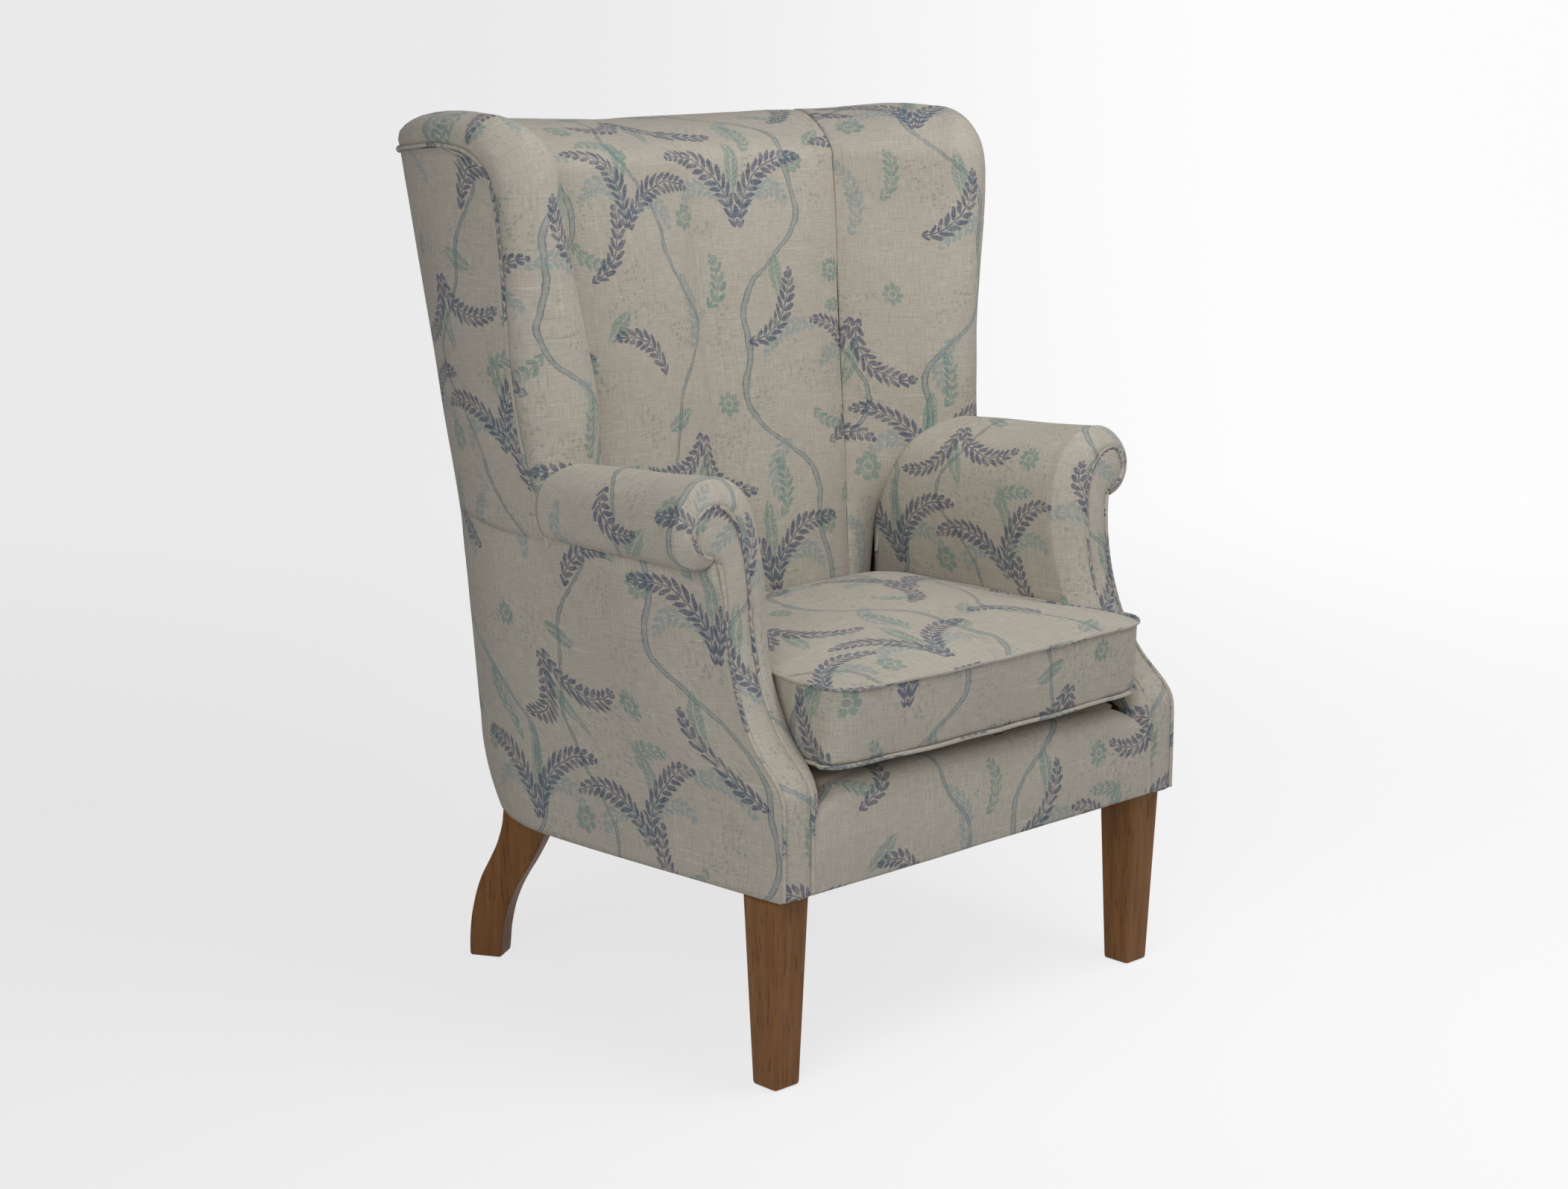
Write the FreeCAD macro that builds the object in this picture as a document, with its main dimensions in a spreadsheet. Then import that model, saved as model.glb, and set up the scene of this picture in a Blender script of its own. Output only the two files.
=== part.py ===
"""Upholstered wing armchair: beech frame, padded covers, loose seat cushion and four legs.

Millimetres. The origin is on the floor under the middle of the chair, +Z is up,
the sitter looks along -Y, and the chair is the same on both sides of the plane X = 0.
"""
import FreeCAD, Part
import math
import os
import Sketcher

V = FreeCAD.Vector

doc = FreeCAD.newDocument("wing_armchair")

SIZES = (
    ("base_bottom", 221.5, "underside of the base above the floor"),
    ("front_depth", 350, "front face of the base ahead of the origin"),
    ("facing_set", 6, "outer edge of the arm facing inside the outside panel"),
    ("facing_wide", 38.3, "width of the arm facing"),
    ("facing_thick", 7, "thickness of the arm facing"),
    ("side_half", 350, "half width of the outside at the arms"),
    ("side_taper", 24, "how much narrower each side is at the facing"),
    ("wing_flare", 34, "how far each wing leans out from the arms to its top"),
    ("barrel_radius", 250, "radius of the rounded back corners in plan"),
    ("rear_depth", 295, "back face behind the origin, above the tucked-in hem"),
    ("rear_lean", 6.9, "lean of the outside back, degrees"),
    ("tuck_height", 98.5, "height over which the hem is tucked in"),
    ("tuck_rear", 25, "tuck of the hem at the back"),
    ("tuck_side", 5, "tuck of the hem at the sides"),
    ("corner_angle", 50, "place of the back corner seam on the barrel, degrees"),
    ("panel_thick", 8, "thickness of an outside panel with its wadding"),
    ("fit_gap", 0.3, "clearance between neighbouring pieces"),
    ("shin_height", 99.4, "straight front of the base under the curved facing"),
    ("facing_lean", 46, "steepest lean of the curved facing, degrees"),
    ("facing_knee", 26, "radius of the lower bend of the facing"),
    ("facing_hollow", 260, "radius of the upper bend of the facing"),
    ("facing_set_back", 105, "how far the top of the facing stands behind its foot"),
    ("arm_front_wide", 38.7, "width of the arm pad inside the facing"),
    ("arm_rear", 2.5, "end of the arm pad at the wing, ahead of the origin"),
    ("arm_slab", 42.7, "thickness of the padding inside the arm"),
    ("pad_foot_wide", 23.7, "width of the arm pad's foot beside the front border"),
    ("pad_drop", 30, "drop of that foot below the front border's top"),
    ("arm_shoulder", 82, "radius of the inner shoulder of the arm"),
    ("roll_set_out", 8, "middle of the arm roll outside the facing's outer edge"),
    ("roll_height", 603, "middle of the arm roll above the floor"),
    ("roll_radius", 46, "radius of the arm roll"),
    ("scroll_set_out", 3.5, "middle of the facing's scroll outside its outer edge"),
    ("scroll_height", 600, "middle of the facing's scroll above the floor"),
    ("scroll_radius", 26.5, "radius of the facing's scroll"),
    ("scroll_start", 575, "height where the facing's inner edge starts to curl"),
    ("deck_height", 344.7, "top of the seat platform"),
    ("deck_thick", 34.7, "thickness of the seat platform"),
    ("lip_thick", 30, "thickness of the front border"),
    ("lip_drop", 9.7, "top of the front border below the platform"),
    ("lip_round", 20, "radius of the front border's top edge"),
    ("back_front", 65, "middle seam of the inside back at the deck, behind the origin"),
    ("back_lean", 8.8, "lean of the inside back, degrees"),
    ("back_pad", 55, "thickness of the inside back at its middle"),
    ("flute_swell", 12, "swell of each flute of the inside back"),
    ("flute_half_low", 174, "side seam of the inside back at the deck"),
    ("flute_half_top", 228.017, "side seam of the inside back at the rolled top"),
    ("flute_turn", 19, "how far the side seam stands ahead of the middle seam"),
    ("wing_pad", 40, "thickness of the inside wing at its seam"),
    ("wing_front", 2, "front of the wing ahead of the origin"),
    ("wing_edge", 35, "depth of the rounded front edge of the wing"),
    ("wing_wide_low", 103, "width of the wing's front at the arm"),
    ("wing_wide_mid", 107, "width of the wing's front at its middle"),
    ("wing_wide_top", 83, "width of the wing's front at its top"),
    ("wing_swell", 8, "swell of the inside wing"),
    ("wing_root_low", 82, "inside wing behind the origin where it meets the arm, at the deck"),
    ("wing_root_mid", 66, "the same above the cushion"),
    ("wing_root_high", 40, "the same at the height of the arm"),
    ("cap_piping", 985, "height of the piping under the rolled top"),
    ("cap_depth", 30, "depth of the rolled top below its piping"),
    ("cap_upright", 15, "upright edge of the rolled top above its piping"),
    ("cap_rise", 38.5, "height of the rolled top above its piping"),
    ("cap_round", 36, "width of the rolled top's rounding"),
    ("cap_overhang", 3, "overhang of the rolled top over the outside"),
    ("wing_edge_round", 40, "radius of the wing's piping at its top front corner"),
    ("seam_bend", 40, "bend of the piping between wing and arm"),
    ("seam_foot", 20, "foot of that piping above the cushion's upper piping"),
    ("seam_turn", 55, "steepest slope of that piping, degrees from upright"),
    ("piping_thick", 5, "diameter of the piping"),
    ("spring_room", 6.5, "space for the springs between the rails and the platform"),
    ("rail_thick", 25, "thickness of the front and side rails"),
    ("back_rail_thick", 40, "thickness of the bent back rail"),
    ("rail_inset", 1, "gap from the outside panels to the rails"),
    ("rear_rail_place", 110, "front of the rear seat rail behind the origin"),
    ("rear_rail_thick", 45, "thickness of the rear seat rail"),
    ("block_wide", 49, "width of the front corner blocks"),
    ("block_deep", 50, "depth of the front corner blocks"),
    ("stump_depth", 60, "depth of the shaped arm stump"),
    ("stump_thick", 25.8, "thickness of the shaped arm stump"),
    ("arm_rail_set", 8, "outer face of the arm rail inside the middle of the roll"),
    ("arm_rail_wide", 30, "width of the arm rail"),
    ("arm_rail_high", 43, "height of the arm rail"),
    ("post_side", 35, "side of the back posts"),
    ("post_place", 135, "middle of each back post from the middle of the chair"),
    ("wing_post_thick", 25, "thickness of the wing posts"),
    ("wing_post_deep", 38, "depth of the wing posts"),
    ("wing_post_place", 112, "front of the wing posts behind the origin"),
    ("wing_post_set", 29, "outer face of the wing posts' head inside the outside panel"),
    ("top_rail_half", 200, "half length of the top rail"),
    ("top_rail_high", 50, "height of the top rail"),
    ("rib_thick", 18, "thickness of the plywood formers"),
    ("rib_wide", 50, "width of the plywood formers"),
    ("rib_low", 400, "height of the lowest former"),
    ("rib_mid", 640, "height of the middle former"),
    ("rib_high", 790, "height of the upper former"),
    ("spring_count", 5, "seat springs"),
    ("spring_gap", 90, "distance between seat springs"),
    ("spring_wire", 3.6, "diameter of the spring wire"),
    ("spring_swing", 10, "half length of a spring's straight bars"),
    ("spring_bars", 19, "bars of each spring"),
    ("spring_inset", 12.5, "place of a spring's end on its rail"),
    ("clip_wide", 16, "width of a spring clip"),
    ("clip_deep", 14, "depth of a spring clip"),
    ("clip_high", 5, "height of a spring clip"),
    ("web_low", 400, "height of the lowest back strap"),
    ("web_step", 120, "distance between back straps"),
    ("web_count", 4, "back straps"),
    ("web_half", 155, "half length of a back strap"),
    ("web_width", 50, "width of a webbing strap"),
    ("web_thick", 1.5, "thickness of a webbing strap"),
    ("cushion_side_gap", 5.8, "gap between the cushion's border and the arms"),
    ("cushion_overhang", 25, "overhang of the cushion's front over the base"),
    ("cushion_gap", 10, "gap between the cushion and the back"),
    ("cushion_bow", 10, "bow of the cushion's front"),
    ("cushion_corner", 34, "radius of the cushion's corners"),
    ("cushion_rise", 0.5, "clearance between cushion and platform"),
    ("cushion_edge", 10.8, "height of the cushion's lower piping above its underside"),
    ("cushion_border", 85, "height of the cushion's border between its pipings"),
    ("cushion_crown", 28, "crown of the cushion above its upper piping"),
    ("cushion_draw", 2, "how far the cushion's sides are drawn in"),
    ("cover_thick", 2, "thickness of the cushion cover with its lining"),
    ("zip_half", 190, "half length of the cushion's zip"),
    ("zip_width", 12, "width of the cushion's zip"),
    ("zip_thick", 1.2, "thickness of the cushion's zip"),
    ("leg_set_in", 25.9, "middle of the front legs inside the facing's outer edge"),
    ("leg_set_back", 42.7, "middle of the front legs behind the base's front"),
    ("leg_foot", 36.7, "width of a front leg at the floor"),
    ("leg_head", 52, "width of a front leg at its top"),
    ("rear_foot_x", 261.6, "near corner of the rear foot from the middle"),
    ("rear_foot_y", 218.3, "near corner of the rear foot behind the origin"),
    ("rear_foot_turn", 30.6, "turn of the rear leg from straight back, degrees"),
    ("rear_leg_thick", 36, "thickness of the rear leg"),
    ("rear_leg_foot", 40.7, "width of the rear leg at the floor"),
    ("rear_leg_head", 65, "width of the rear leg at its top"),
    ("rear_leg_sweep", 75, "how far the rear leg's front sweeps back from its top"),
    ("rear_leg_knee", 0.09, "share of its sweep that a rear leg's edge has at a quarter of its height"),
    ("rear_leg_waist", 0.46, "the same at half its height"),
    ("rear_leg_hip", 0.2, "share of its sweep left at three quarters of its height"),
    ("bolt_thick", 8, "diameter of the leg bolts"),
    ("bolt_in_leg", 40, "depth of a leg bolt in its leg"),
    ("bolt_short", 22, "top of a leg bolt below the top of the rail"),
    ("glide_width", 20, "diameter of the glides"),
    ("glide_thick", 2, "thickness of the glides"),
    ("dust_thick", 1, "thickness of the dust cover"),
)

sheet = doc.addObject("Spreadsheet::Sheet", "dims")
for row, (alias, value, note) in enumerate(SIZES, start=1):
    sheet.set("A%d" % row, note)
    sheet.set("B%d" % row, str(value))
    sheet.setAlias("B%d" % row, alias)
doc.recompute()


def dim(alias):
    """A driving dimension read back from the sheet."""
    return float(sheet.get(alias))


def sine(degrees):
    return math.sin(math.radians(degrees))


def cosine(degrees):
    return math.cos(math.radians(degrees))


def tangent(degrees):
    return math.tan(math.radians(degrees))


nodes = []


def keep(obj, label):
    """Names a finished sub-part and puts it on the list of files."""
    obj.Label = label
    nodes.append(obj)
    return obj


def shaped(label, shape):
    """A sub-part whose solid is worked out here from the sheet's sizes."""
    obj = doc.addObject("Part::Feature", "shape_" + label)
    obj.Shape = shape
    obj.Placement = FreeCAD.Placement()
    return keep(obj, label)


def pair(name, right_shape):
    """A sub-part on the right side and its mirror image on the left."""
    shaped(name + "_right", right_shape)
    shaped(name + "_left", right_shape.mirror(V(0, 0, 0), V(1, 0, 0)))


def outline(start, *moves):
    """A closed wire: a point draws a line, a pair (through, end) draws an arc."""
    edges, here = [], start
    for move in moves:
        if isinstance(move, tuple):
            through, end = move
            edges.append(Part.Arc(here, through, end).toShape())
        else:
            end = move
            edges.append(Part.LineSegment(here, end).toShape())
        here = end
    if (here - start).Length > 1e-6:
        edges.append(Part.LineSegment(here, start).toShape())
    return Part.Wire(edges)


def loft(wires):
    return Part.makeLoft(wires, True, True)


def prism(wire, travel):
    return Part.Face(wire).extrude(travel)


def box(x0, x1, y0, y1, z0, z1):
    return Part.makeBox(x1 - x0, y1 - y0, z1 - z0, V(x0, y0, z0))


def tube(path, thickness):
    """A round cord along a tangent chain of lines and arcs."""
    first = path.OrderedEdges[0]
    start = first.valueAt(first.FirstParameter)
    along = first.tangentAt(first.FirstParameter)
    if (path.OrderedVertexes[0].Point - start).Length > 1e-6:
        start = path.OrderedVertexes[0].Point
        along = first.tangentAt(first.LastParameter) * -1
    ring = Part.Wire(Part.makeCircle(thickness / 2, start, along))
    return path.makePipeShell([ring], True, False)


# Heights and slopes shared by the covers and the frame
base_bottom = dim("base_bottom")
tuck_top = base_bottom + dim("tuck_height")
arm_seam = dim("roll_height") - dim("roll_radius")
cap_piping = dim("cap_piping")
cap_bottom = cap_piping - dim("cap_depth")
cap_top = cap_piping + dim("cap_rise")
deck = dim("deck_height")
gap = dim("fit_gap")
cushion_bottom = deck + dim("cushion_rise")
cushion_low = cushion_bottom + dim("cushion_edge")
cushion_high = cushion_low + dim("cushion_border")
panel = dim("panel_thick")
barrel = dim("barrel_radius")
rail_top = deck - dim("deck_thick") - dim("spring_room")
rail_height = rail_top - base_bottom
lip_top = deck - dim("lip_drop")
side_front = dim("side_half") - dim("side_taper")
facing_out = side_front - dim("facing_set")
facing_in = facing_out - dim("facing_wide")
arm_in = facing_in - dim("arm_front_wide")
pad_foot_in = facing_in - dim("pad_foot_wide")
roll_x = facing_out + dim("roll_set_out")
scroll_x = facing_out + dim("scroll_set_out")
cushion_half = arm_in - dim("cushion_side_gap")
bolt_in_rail = rail_height - dim("bolt_short")
beyond = dim("side_half") + dim("wing_flare") + dim("roll_radius")
front = -dim("front_depth")
corner = dim("corner_angle")


def half_width(z):
    """Half width of the outside at a height."""
    if z < tuck_top:
        tucked = (tuck_top - z) / dim("tuck_height")
        return dim("side_half") - dim("tuck_side") * tucked ** 2
    if z < arm_seam:
        return dim("side_half")
    return dim("side_half") + dim("wing_flare") * (z - arm_seam) / (cap_bottom - arm_seam)


def rear_line(z):
    """Place of the outside back at a height."""
    if z < tuck_top:
        tucked = (tuck_top - z) / dim("tuck_height")
        return dim("rear_depth") - dim("tuck_rear") * tucked ** 2
    return dim("rear_depth") + (z - tuck_top) * tangent(dim("rear_lean"))


def barrel_point(z, inset, angle, level=None):
    """A point of the rounded back corner, inset from the outside."""
    reach = barrel - inset
    x = half_width(z) - barrel + reach * cosine(angle)
    y = rear_line(z) - barrel + reach * sine(angle)
    return V(x, y, z if level is None else level)


def centre_seam(z):
    """Place of the middle seam of the inside back."""
    return dim("back_front") + (z - deck) * tangent(dim("back_lean"))


def side_seam(z, inset=0.0):
    """A point of the seam between inside back and inside wing, moved towards the corner seam."""
    share = (z - deck) / (cap_bottom - deck)
    x = dim("flute_half_low") + share * (dim("flute_half_top") - dim("flute_half_low"))
    seam = V(x, centre_seam(z) - dim("flute_turn"), z)
    to_corner = (barrel_point(z, 0, corner) - seam).normalize()
    return seam + to_corner * inset


def mirror_point(point):
    return V(-point.x, point.y, point.z)


def side_band(z, inner, outer, start, edge):
    """Section of a panel along one side: from its front edge round to the corner seam."""
    return outline(
        V(edge - outer, start, z),
        barrel_point(z, outer, 0),
        (barrel_point(z, outer, corner / 2), barrel_point(z, outer, corner)),
        barrel_point(z, inner, corner),
        (barrel_point(z, inner, corner / 2), barrel_point(z, inner, 0)),
        V(edge - inner, start, z),
    )


def back_band(z, inner, outer, angle):
    """Section of a panel across the back between the two corner seams."""
    turn = (angle + 90) / 2
    rim = [barrel_point(z, outer, a) for a in (angle, turn, 90)]
    back = [barrel_point(z, inner, a) for a in (90, turn, angle)]
    return outline(
        rim[0],
        (rim[1], rim[2]),
        mirror_point(rim[2]),
        (mirror_point(rim[1]), mirror_point(rim[0])),
        mirror_point(back[2]),
        (mirror_point(back[1]), mirror_point(back[0])),
        back[0],
        (back[1], back[2]),
    )


def facing_run(offset, x, bottom, top):
    """Front line of the arm from the hem up, moved forward by the offset."""
    lean = dim("facing_lean")
    knee = dim("facing_knee") + offset
    hollow = dim("facing_hollow") - offset
    shin = base_bottom + dim("shin_height")
    bends = (dim("facing_knee") + dim("facing_hollow")) * (1 - cosine(lean))
    slope = (dim("facing_set_back") - bends) / sine(lean)
    knee_centre = V(x, front + dim("facing_knee"), shin)
    knee_end = knee_centre + V(0, -knee * cosine(lean), knee * sine(lean))
    slope_end = knee_end + V(0, sine(lean), cosine(lean)) * slope
    hollow_centre = slope_end + V(0, -hollow * cosine(lean), hollow * sine(lean))
    hollow_end = hollow_centre + V(0, hollow, 0)
    return [
        V(x, front - offset, bottom),
        V(x, front - offset, shin),
        (knee_centre + V(0, -knee * cosine(lean / 2), knee * sine(lean / 2)), knee_end),
        slope_end,
        (hollow_centre + V(0, hollow * cosine(lean / 2), -hollow * sine(lean / 2)), hollow_end),
        V(x, hollow_end.y, top),
    ]


def behind_facing(offset, rear, bottom, top):
    """The space behind the arm's front line, over the full width of the right arm."""
    run = facing_run(offset, 0, bottom, top)
    return prism(outline(*run, V(0, rear, top), V(0, rear, bottom)), V(beyond, 0, 0))


def facing_outline(spread, bottom):
    """Front view of the right facing, with its scroll, grown by the spread."""
    x_in = facing_in - spread
    x_out = facing_out + spread
    centre = V(scroll_x, 0, dim("scroll_height"))
    radius = dim("scroll_radius") + spread
    rise = dim("scroll_height") - dim("scroll_start")
    reach = scroll_x - facing_in
    loop = dim("scroll_radius")
    curl = (reach ** 2 + rise ** 2 - loop ** 2) / (2 * (reach - loop))
    curl_centre = V(facing_in + curl, 0, dim("scroll_start"))
    outward = (centre - curl_centre).normalize()
    meet = curl_centre + outward * (curl + spread)
    half_way = (outward + V(-1, 0, 0)).normalize()
    drop = math.sqrt(radius ** 2 - (centre.x - x_out) ** 2)
    return [
        V(x_in, 0, bottom),
        V(x_in, 0, dim("scroll_start")),
        (curl_centre + half_way * (curl + spread), meet),
        (centre + V(0, 0, radius), centre + V(radius, 0, 0)),
        (centre + V(sine(45), 0, -cosine(45)) * radius, V(x_out, 0, centre.z - drop)),
        V(x_out, 0, bottom),
    ]


def at_depth(moves, y):
    """The same points of a front view, moved to a depth."""
    shifted = []
    for move in moves:
        if isinstance(move, tuple):
            shifted.append(tuple(V(p.x, y, p.z) for p in move))
        else:
            shifted.append(V(move.x, y, move.z))
    return shifted


# Outside panels
def outside_arm():
    """Side of the base and arm, from the facing round to the corner seam."""
    heights = (base_bottom, base_bottom + dim("tuck_height") / 2, tuck_top, arm_seam - gap)
    start = front - 1
    bands = [side_band(z, panel, 0, start, side_front) for z in heights]
    solid = loft(bands)
    behind = behind_facing(-dim("facing_thick") - gap, rear_line(cap_top), 0, arm_seam)
    return solid.common(behind)


def wing_edge_line():
    """Front edge of the outside wing behind the origin."""
    return dim("wing_edge") - dim("wing_front")


def outside_wing():
    """Outside of the wing above the arm, up to the piping."""
    heights = (arm_seam, cap_piping - gap)
    return loft([side_band(z, panel, 0, wing_edge_line(), half_width(z)) for z in heights])


def outside_back():
    """Back panel between the corner seams."""
    tuck = (base_bottom, base_bottom + dim("tuck_height") / 2, tuck_top)
    heights = tuck + (arm_seam - gap, arm_seam, cap_piping - gap)
    return loft([back_band(z, panel, 0, corner) for z in heights])


pair("outside_arm", outside_arm())
pair("outside_wing", outside_wing())
shaped("outside_back", outside_back())


# Arm facing, arm pad and front border
facing_thick = dim("facing_thick")


def facing():
    """Front panel of the arm with its scroll."""
    plate = prism(outline(*facing_outline(0, base_bottom)), V(0, -front, 0))
    plate.translate(V(0, front, 0))
    thick = behind_facing(0, 0, 0, cap_top).cut(behind_facing(-facing_thick, 0, 0, cap_top))
    return plate.common(thick)


def facing_room():
    """The space that the facing takes out of the arm pad."""
    plate = prism(outline(*facing_outline(gap, base_bottom - 1)), V(0, -front, 0))
    plate.translate(V(0, front, 0))
    room = behind_facing(1, 0, 0, cap_top).cut(behind_facing(-facing_thick - gap, 0, 0, cap_top))
    return plate.common(room)


slab_back = arm_in + dim("arm_slab")
roll_centre = V(roll_x, 0, dim("roll_height"))
roll = dim("roll_radius")
rail_out = roll_x - dim("arm_rail_set")
rail_in = rail_out - dim("arm_rail_wide")
arm_rail_top = arm_seam + dim("arm_rail_high")
arm_foot = lip_top + gap
pad_foot = arm_foot - dim("pad_drop")


def arm_section():
    """Cross-section of the arm pad: inner face, shoulder, roll and the seat of the arm rail."""
    shoulder = dim("arm_shoulder")
    hub = V(arm_in + shoulder, 0, roll_centre.z + roll - shoulder)
    return outline(
        V(pad_foot_in, 0, pad_foot),
        V(pad_foot_in, 0, arm_foot),
        V(arm_in, 0, arm_foot),
        V(arm_in, 0, hub.z),
        (hub + V(-sine(45), 0, cosine(45)) * shoulder, V(hub.x, 0, hub.z + shoulder)),
        roll_centre + V(0, 0, roll),
        (roll_centre + V(sine(45), 0, cosine(45)) * roll, roll_centre + V(roll, 0, 0)),
        (roll_centre + V(sine(45), 0, -cosine(45)) * roll, roll_centre + V(0, 0, -roll)),
        V(rail_out + gap, 0, arm_seam),
        V(rail_out + gap, 0, arm_rail_top + gap),
        V(rail_in - gap, 0, arm_rail_top + gap),
        V(rail_in - gap, 0, arm_seam),
        V(slab_back, 0, arm_seam),
        V(slab_back, 0, pad_foot),
    )


def arm_pad():
    """Padding over the arm: it follows the facing in front and ends at wing and back."""
    length = -front + dim("wing_root_low") + dim("wing_pad")
    bar = prism(arm_section(), V(0, length, 0))
    bar.translate(V(0, front, 0))
    bar = bar.common(behind_facing(0, length, 0, cap_top))
    above = box(0, beyond, -dim("arm_rear"), beyond, arm_seam, cap_top)
    beside = box(slab_back, beyond, -dim("arm_rear"), beyond, 0, cap_top)
    below = box(0, beyond, front + dim("lip_thick"), beyond, 0, arm_foot)
    return bar.cut(above).cut(beside).cut(below).cut(facing_room()).removeSplitter()


pair("facing", facing())
pair("arm_pad", arm_pad())


def front_border():
    """Padded border under the cushion, rounded over at its top."""
    half = facing_in - gap
    rear = front + dim("lip_thick")
    crown = dim("lip_round")
    top = lip_top
    turn = V(-half, front + crown, top - crown)
    section = outline(
        V(-half, front, base_bottom),
        V(-half, front, top - crown),
        (turn + V(0, -cosine(45), sine(45)) * crown, V(-half, front + crown, top)),
        V(-half, rear, top),
        V(-half, rear, base_bottom),
    )
    border = prism(section, V(2 * half, 0, 0))
    corner_room = box(pad_foot_in - gap, half + 1, front - 1, 0, pad_foot - gap, top + 1)
    other_room = corner_room.mirror(V(0, 0, 0), V(1, 0, 0))
    return border.cut(corner_room).cut(other_room)


shaped("front_border", front_border())


# Inside back and wings with their rolled top
def back_section(z, inset=0.0, outer=None):
    """Two flutes between the side seams. Without an outer edge the pad ends at its own back."""
    seam = side_seam(z, inset)
    middle = V(0, centre_seam(z) + inset, z)
    swell = (seam + middle) * 0.5 - V(0, dim("flute_swell"), 0)
    moves = [seam, (swell, middle), (mirror_point(swell), mirror_point(seam))]
    if outer is None:
        rear = side_seam(z, dim("wing_pad"))
        moves += [mirror_point(rear), V(0, centre_seam(z) + dim("back_pad"), z), rear]
        return outline(*moves)
    turn = (corner + 90) / 2
    rim = [barrel_point(z, outer, a) for a in (corner, turn, 90)]
    moves += [
        mirror_point(rim[0]),
        (mirror_point(rim[1]), mirror_point(rim[2])),
        rim[2],
        (rim[1], rim[0]),
    ]
    return outline(*moves)


root_middle = (cushion_high + arm_seam) / 2
wing_middle = (arm_seam + cap_bottom) / 2


def wing_inner_edge(z):
    """Inner edge of the wing's rounded front."""
    low, mid, high = dim("wing_wide_low"), dim("wing_wide_mid"), dim("wing_wide_top")
    if z < wing_middle:
        wide = low + (mid - low) * (z - arm_seam) / (wing_middle - arm_seam)
    else:
        wide = mid + (high - mid) * (z - wing_middle) / (cap_bottom - wing_middle)
    return half_width(z) - wide


def wing_nose(z, inset, outer):
    """Outer end, front and inner end of the wing's rounded front edge."""
    inner_x = wing_inner_edge(z) + inset
    outer_x = half_width(z) - outer
    half = (outer_x - inner_x) / 2
    root = wing_edge_line() + 0.3 * inset - gap
    depth = min(dim("wing_edge") - inset, 0.9 * half)
    return V(outer_x, root, z), V(inner_x + half, root - depth, z), V(inner_x, root, z)


def wing_section(z, inset=0.0, outer=0.0, hollow=True):
    """Inside wing from its front edge to the side seam, hollow behind or the full wall."""
    out_end, tip, in_end = wing_nose(z, inset, outer)
    seam = side_seam(z, inset)
    along = (seam - in_end).normalize()
    swell = (seam + in_end) * 0.5 + V(along.y, -along.x, 0) * -dim("wing_swell")
    moves = [out_end, (tip, in_end), (swell, seam)]
    if hollow:
        edge = half_width(z) - panel - gap
        shelf = V(edge, dim("wing_post_place") - dim("wing_edge"), z)
        moves += [side_seam(z, dim("wing_pad")), shelf, V(edge, out_end.y, z)]
    else:
        moves += [
            barrel_point(z, outer, corner),
            (barrel_point(z, outer, corner / 2), barrel_point(z, outer, 0)),
        ]
    return outline(*moves)


def wing_root_section(z):
    """Foot of the inside wing between the side seam and the arm."""
    places = {deck: "wing_root_low", root_middle: "wing_root_mid", arm_seam: "wing_root_high"}
    place = dim(places[z])
    edge = arm_in - gap
    return outline(
        V(edge, place, z),
        side_seam(z),
        side_seam(z, dim("wing_pad")),
        V(edge, place + dim("wing_pad"), z),
    )


CAP_STEPS = 5


def cap_levels():
    """Heights and insets of the rolled top: upright first, then rounded over."""
    straight = cap_piping + dim("cap_upright")
    levels = [(cap_piping, 0.0), (straight, 0.0)]
    for step in range(1, CAP_STEPS + 1):
        angle = 84.0 * step / CAP_STEPS
        height = straight + (cap_top - straight) * sine(angle) / sine(84)
        levels.append((height, dim("cap_round") * (1 - cosine(angle))))
    return levels


def inside_back():
    """Fluted inside back with the rolled top over the back."""
    pad = loft([back_section(z) for z in (deck, root_middle, arm_seam, wing_middle, cap_bottom)])
    under = loft([back_section(z, 0, panel + gap) for z in (cap_bottom, cap_piping)])
    over = loft([back_section(z, d, d - dim("cap_overhang")) for z, d in cap_levels()])
    return pad.fuse(under).fuse(over)


def inside_wing():
    """Padded inside of the wing with its front edge and its part of the rolled top."""
    foot = loft([wing_root_section(z) for z in (deck, root_middle, arm_seam)])
    pad = loft([wing_section(z) for z in (arm_seam, wing_middle, cap_bottom)])
    under = loft([wing_section(z, 0, panel + gap, False) for z in (cap_bottom, cap_piping)])
    over = loft([wing_section(z, d, d - dim("cap_overhang"), False) for z, d in cap_levels()])
    rail_room = box(rail_in - gap, rail_out + gap, front, beyond, arm_seam - 1, arm_rail_top + gap)
    return pad.fuse(under).fuse(over).fuse(foot).cut(rail_room)


shaped("inside_back", inside_back())
pair("inside_wing", inside_wing())


# Seat platform
def bound(kind, name, **expressions):
    """A primitive whose sizes follow the sheet."""
    obj = doc.addObject(kind, name)
    for size, expression in expressions.items():
        obj.setExpression(size, expression)
    return obj


def place(obj, x, y, z):
    """Puts a primitive where three expressions of the sheet say."""
    for axis, expression in zip("xyz", (x, y, z)):
        obj.setExpression("Placement.Base." + axis, expression)
    return obj


def block(name, x, y, z, length, width, height):
    """A box bound to the sheet: its low corner, then its sizes along X, Y and Z."""
    obj = bound("Part::Box", name, Length=length, Width=width, Height=height)
    return place(obj, x, y, z)


def mirrored(name, source):
    """The same piece on the other side of the chair."""
    obj = doc.addObject("Part::Mirroring", name)
    obj.Source = source
    obj.Normal = V(1, 0, 0)
    return obj


def cut(name, base, tool):
    obj = doc.addObject("Part::Cut", name)
    obj.Base = base
    obj.Tool = tool
    return obj


def compound(name, links):
    obj = doc.addObject("Part::Compound", name)
    obj.Links = links
    return obj


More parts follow.
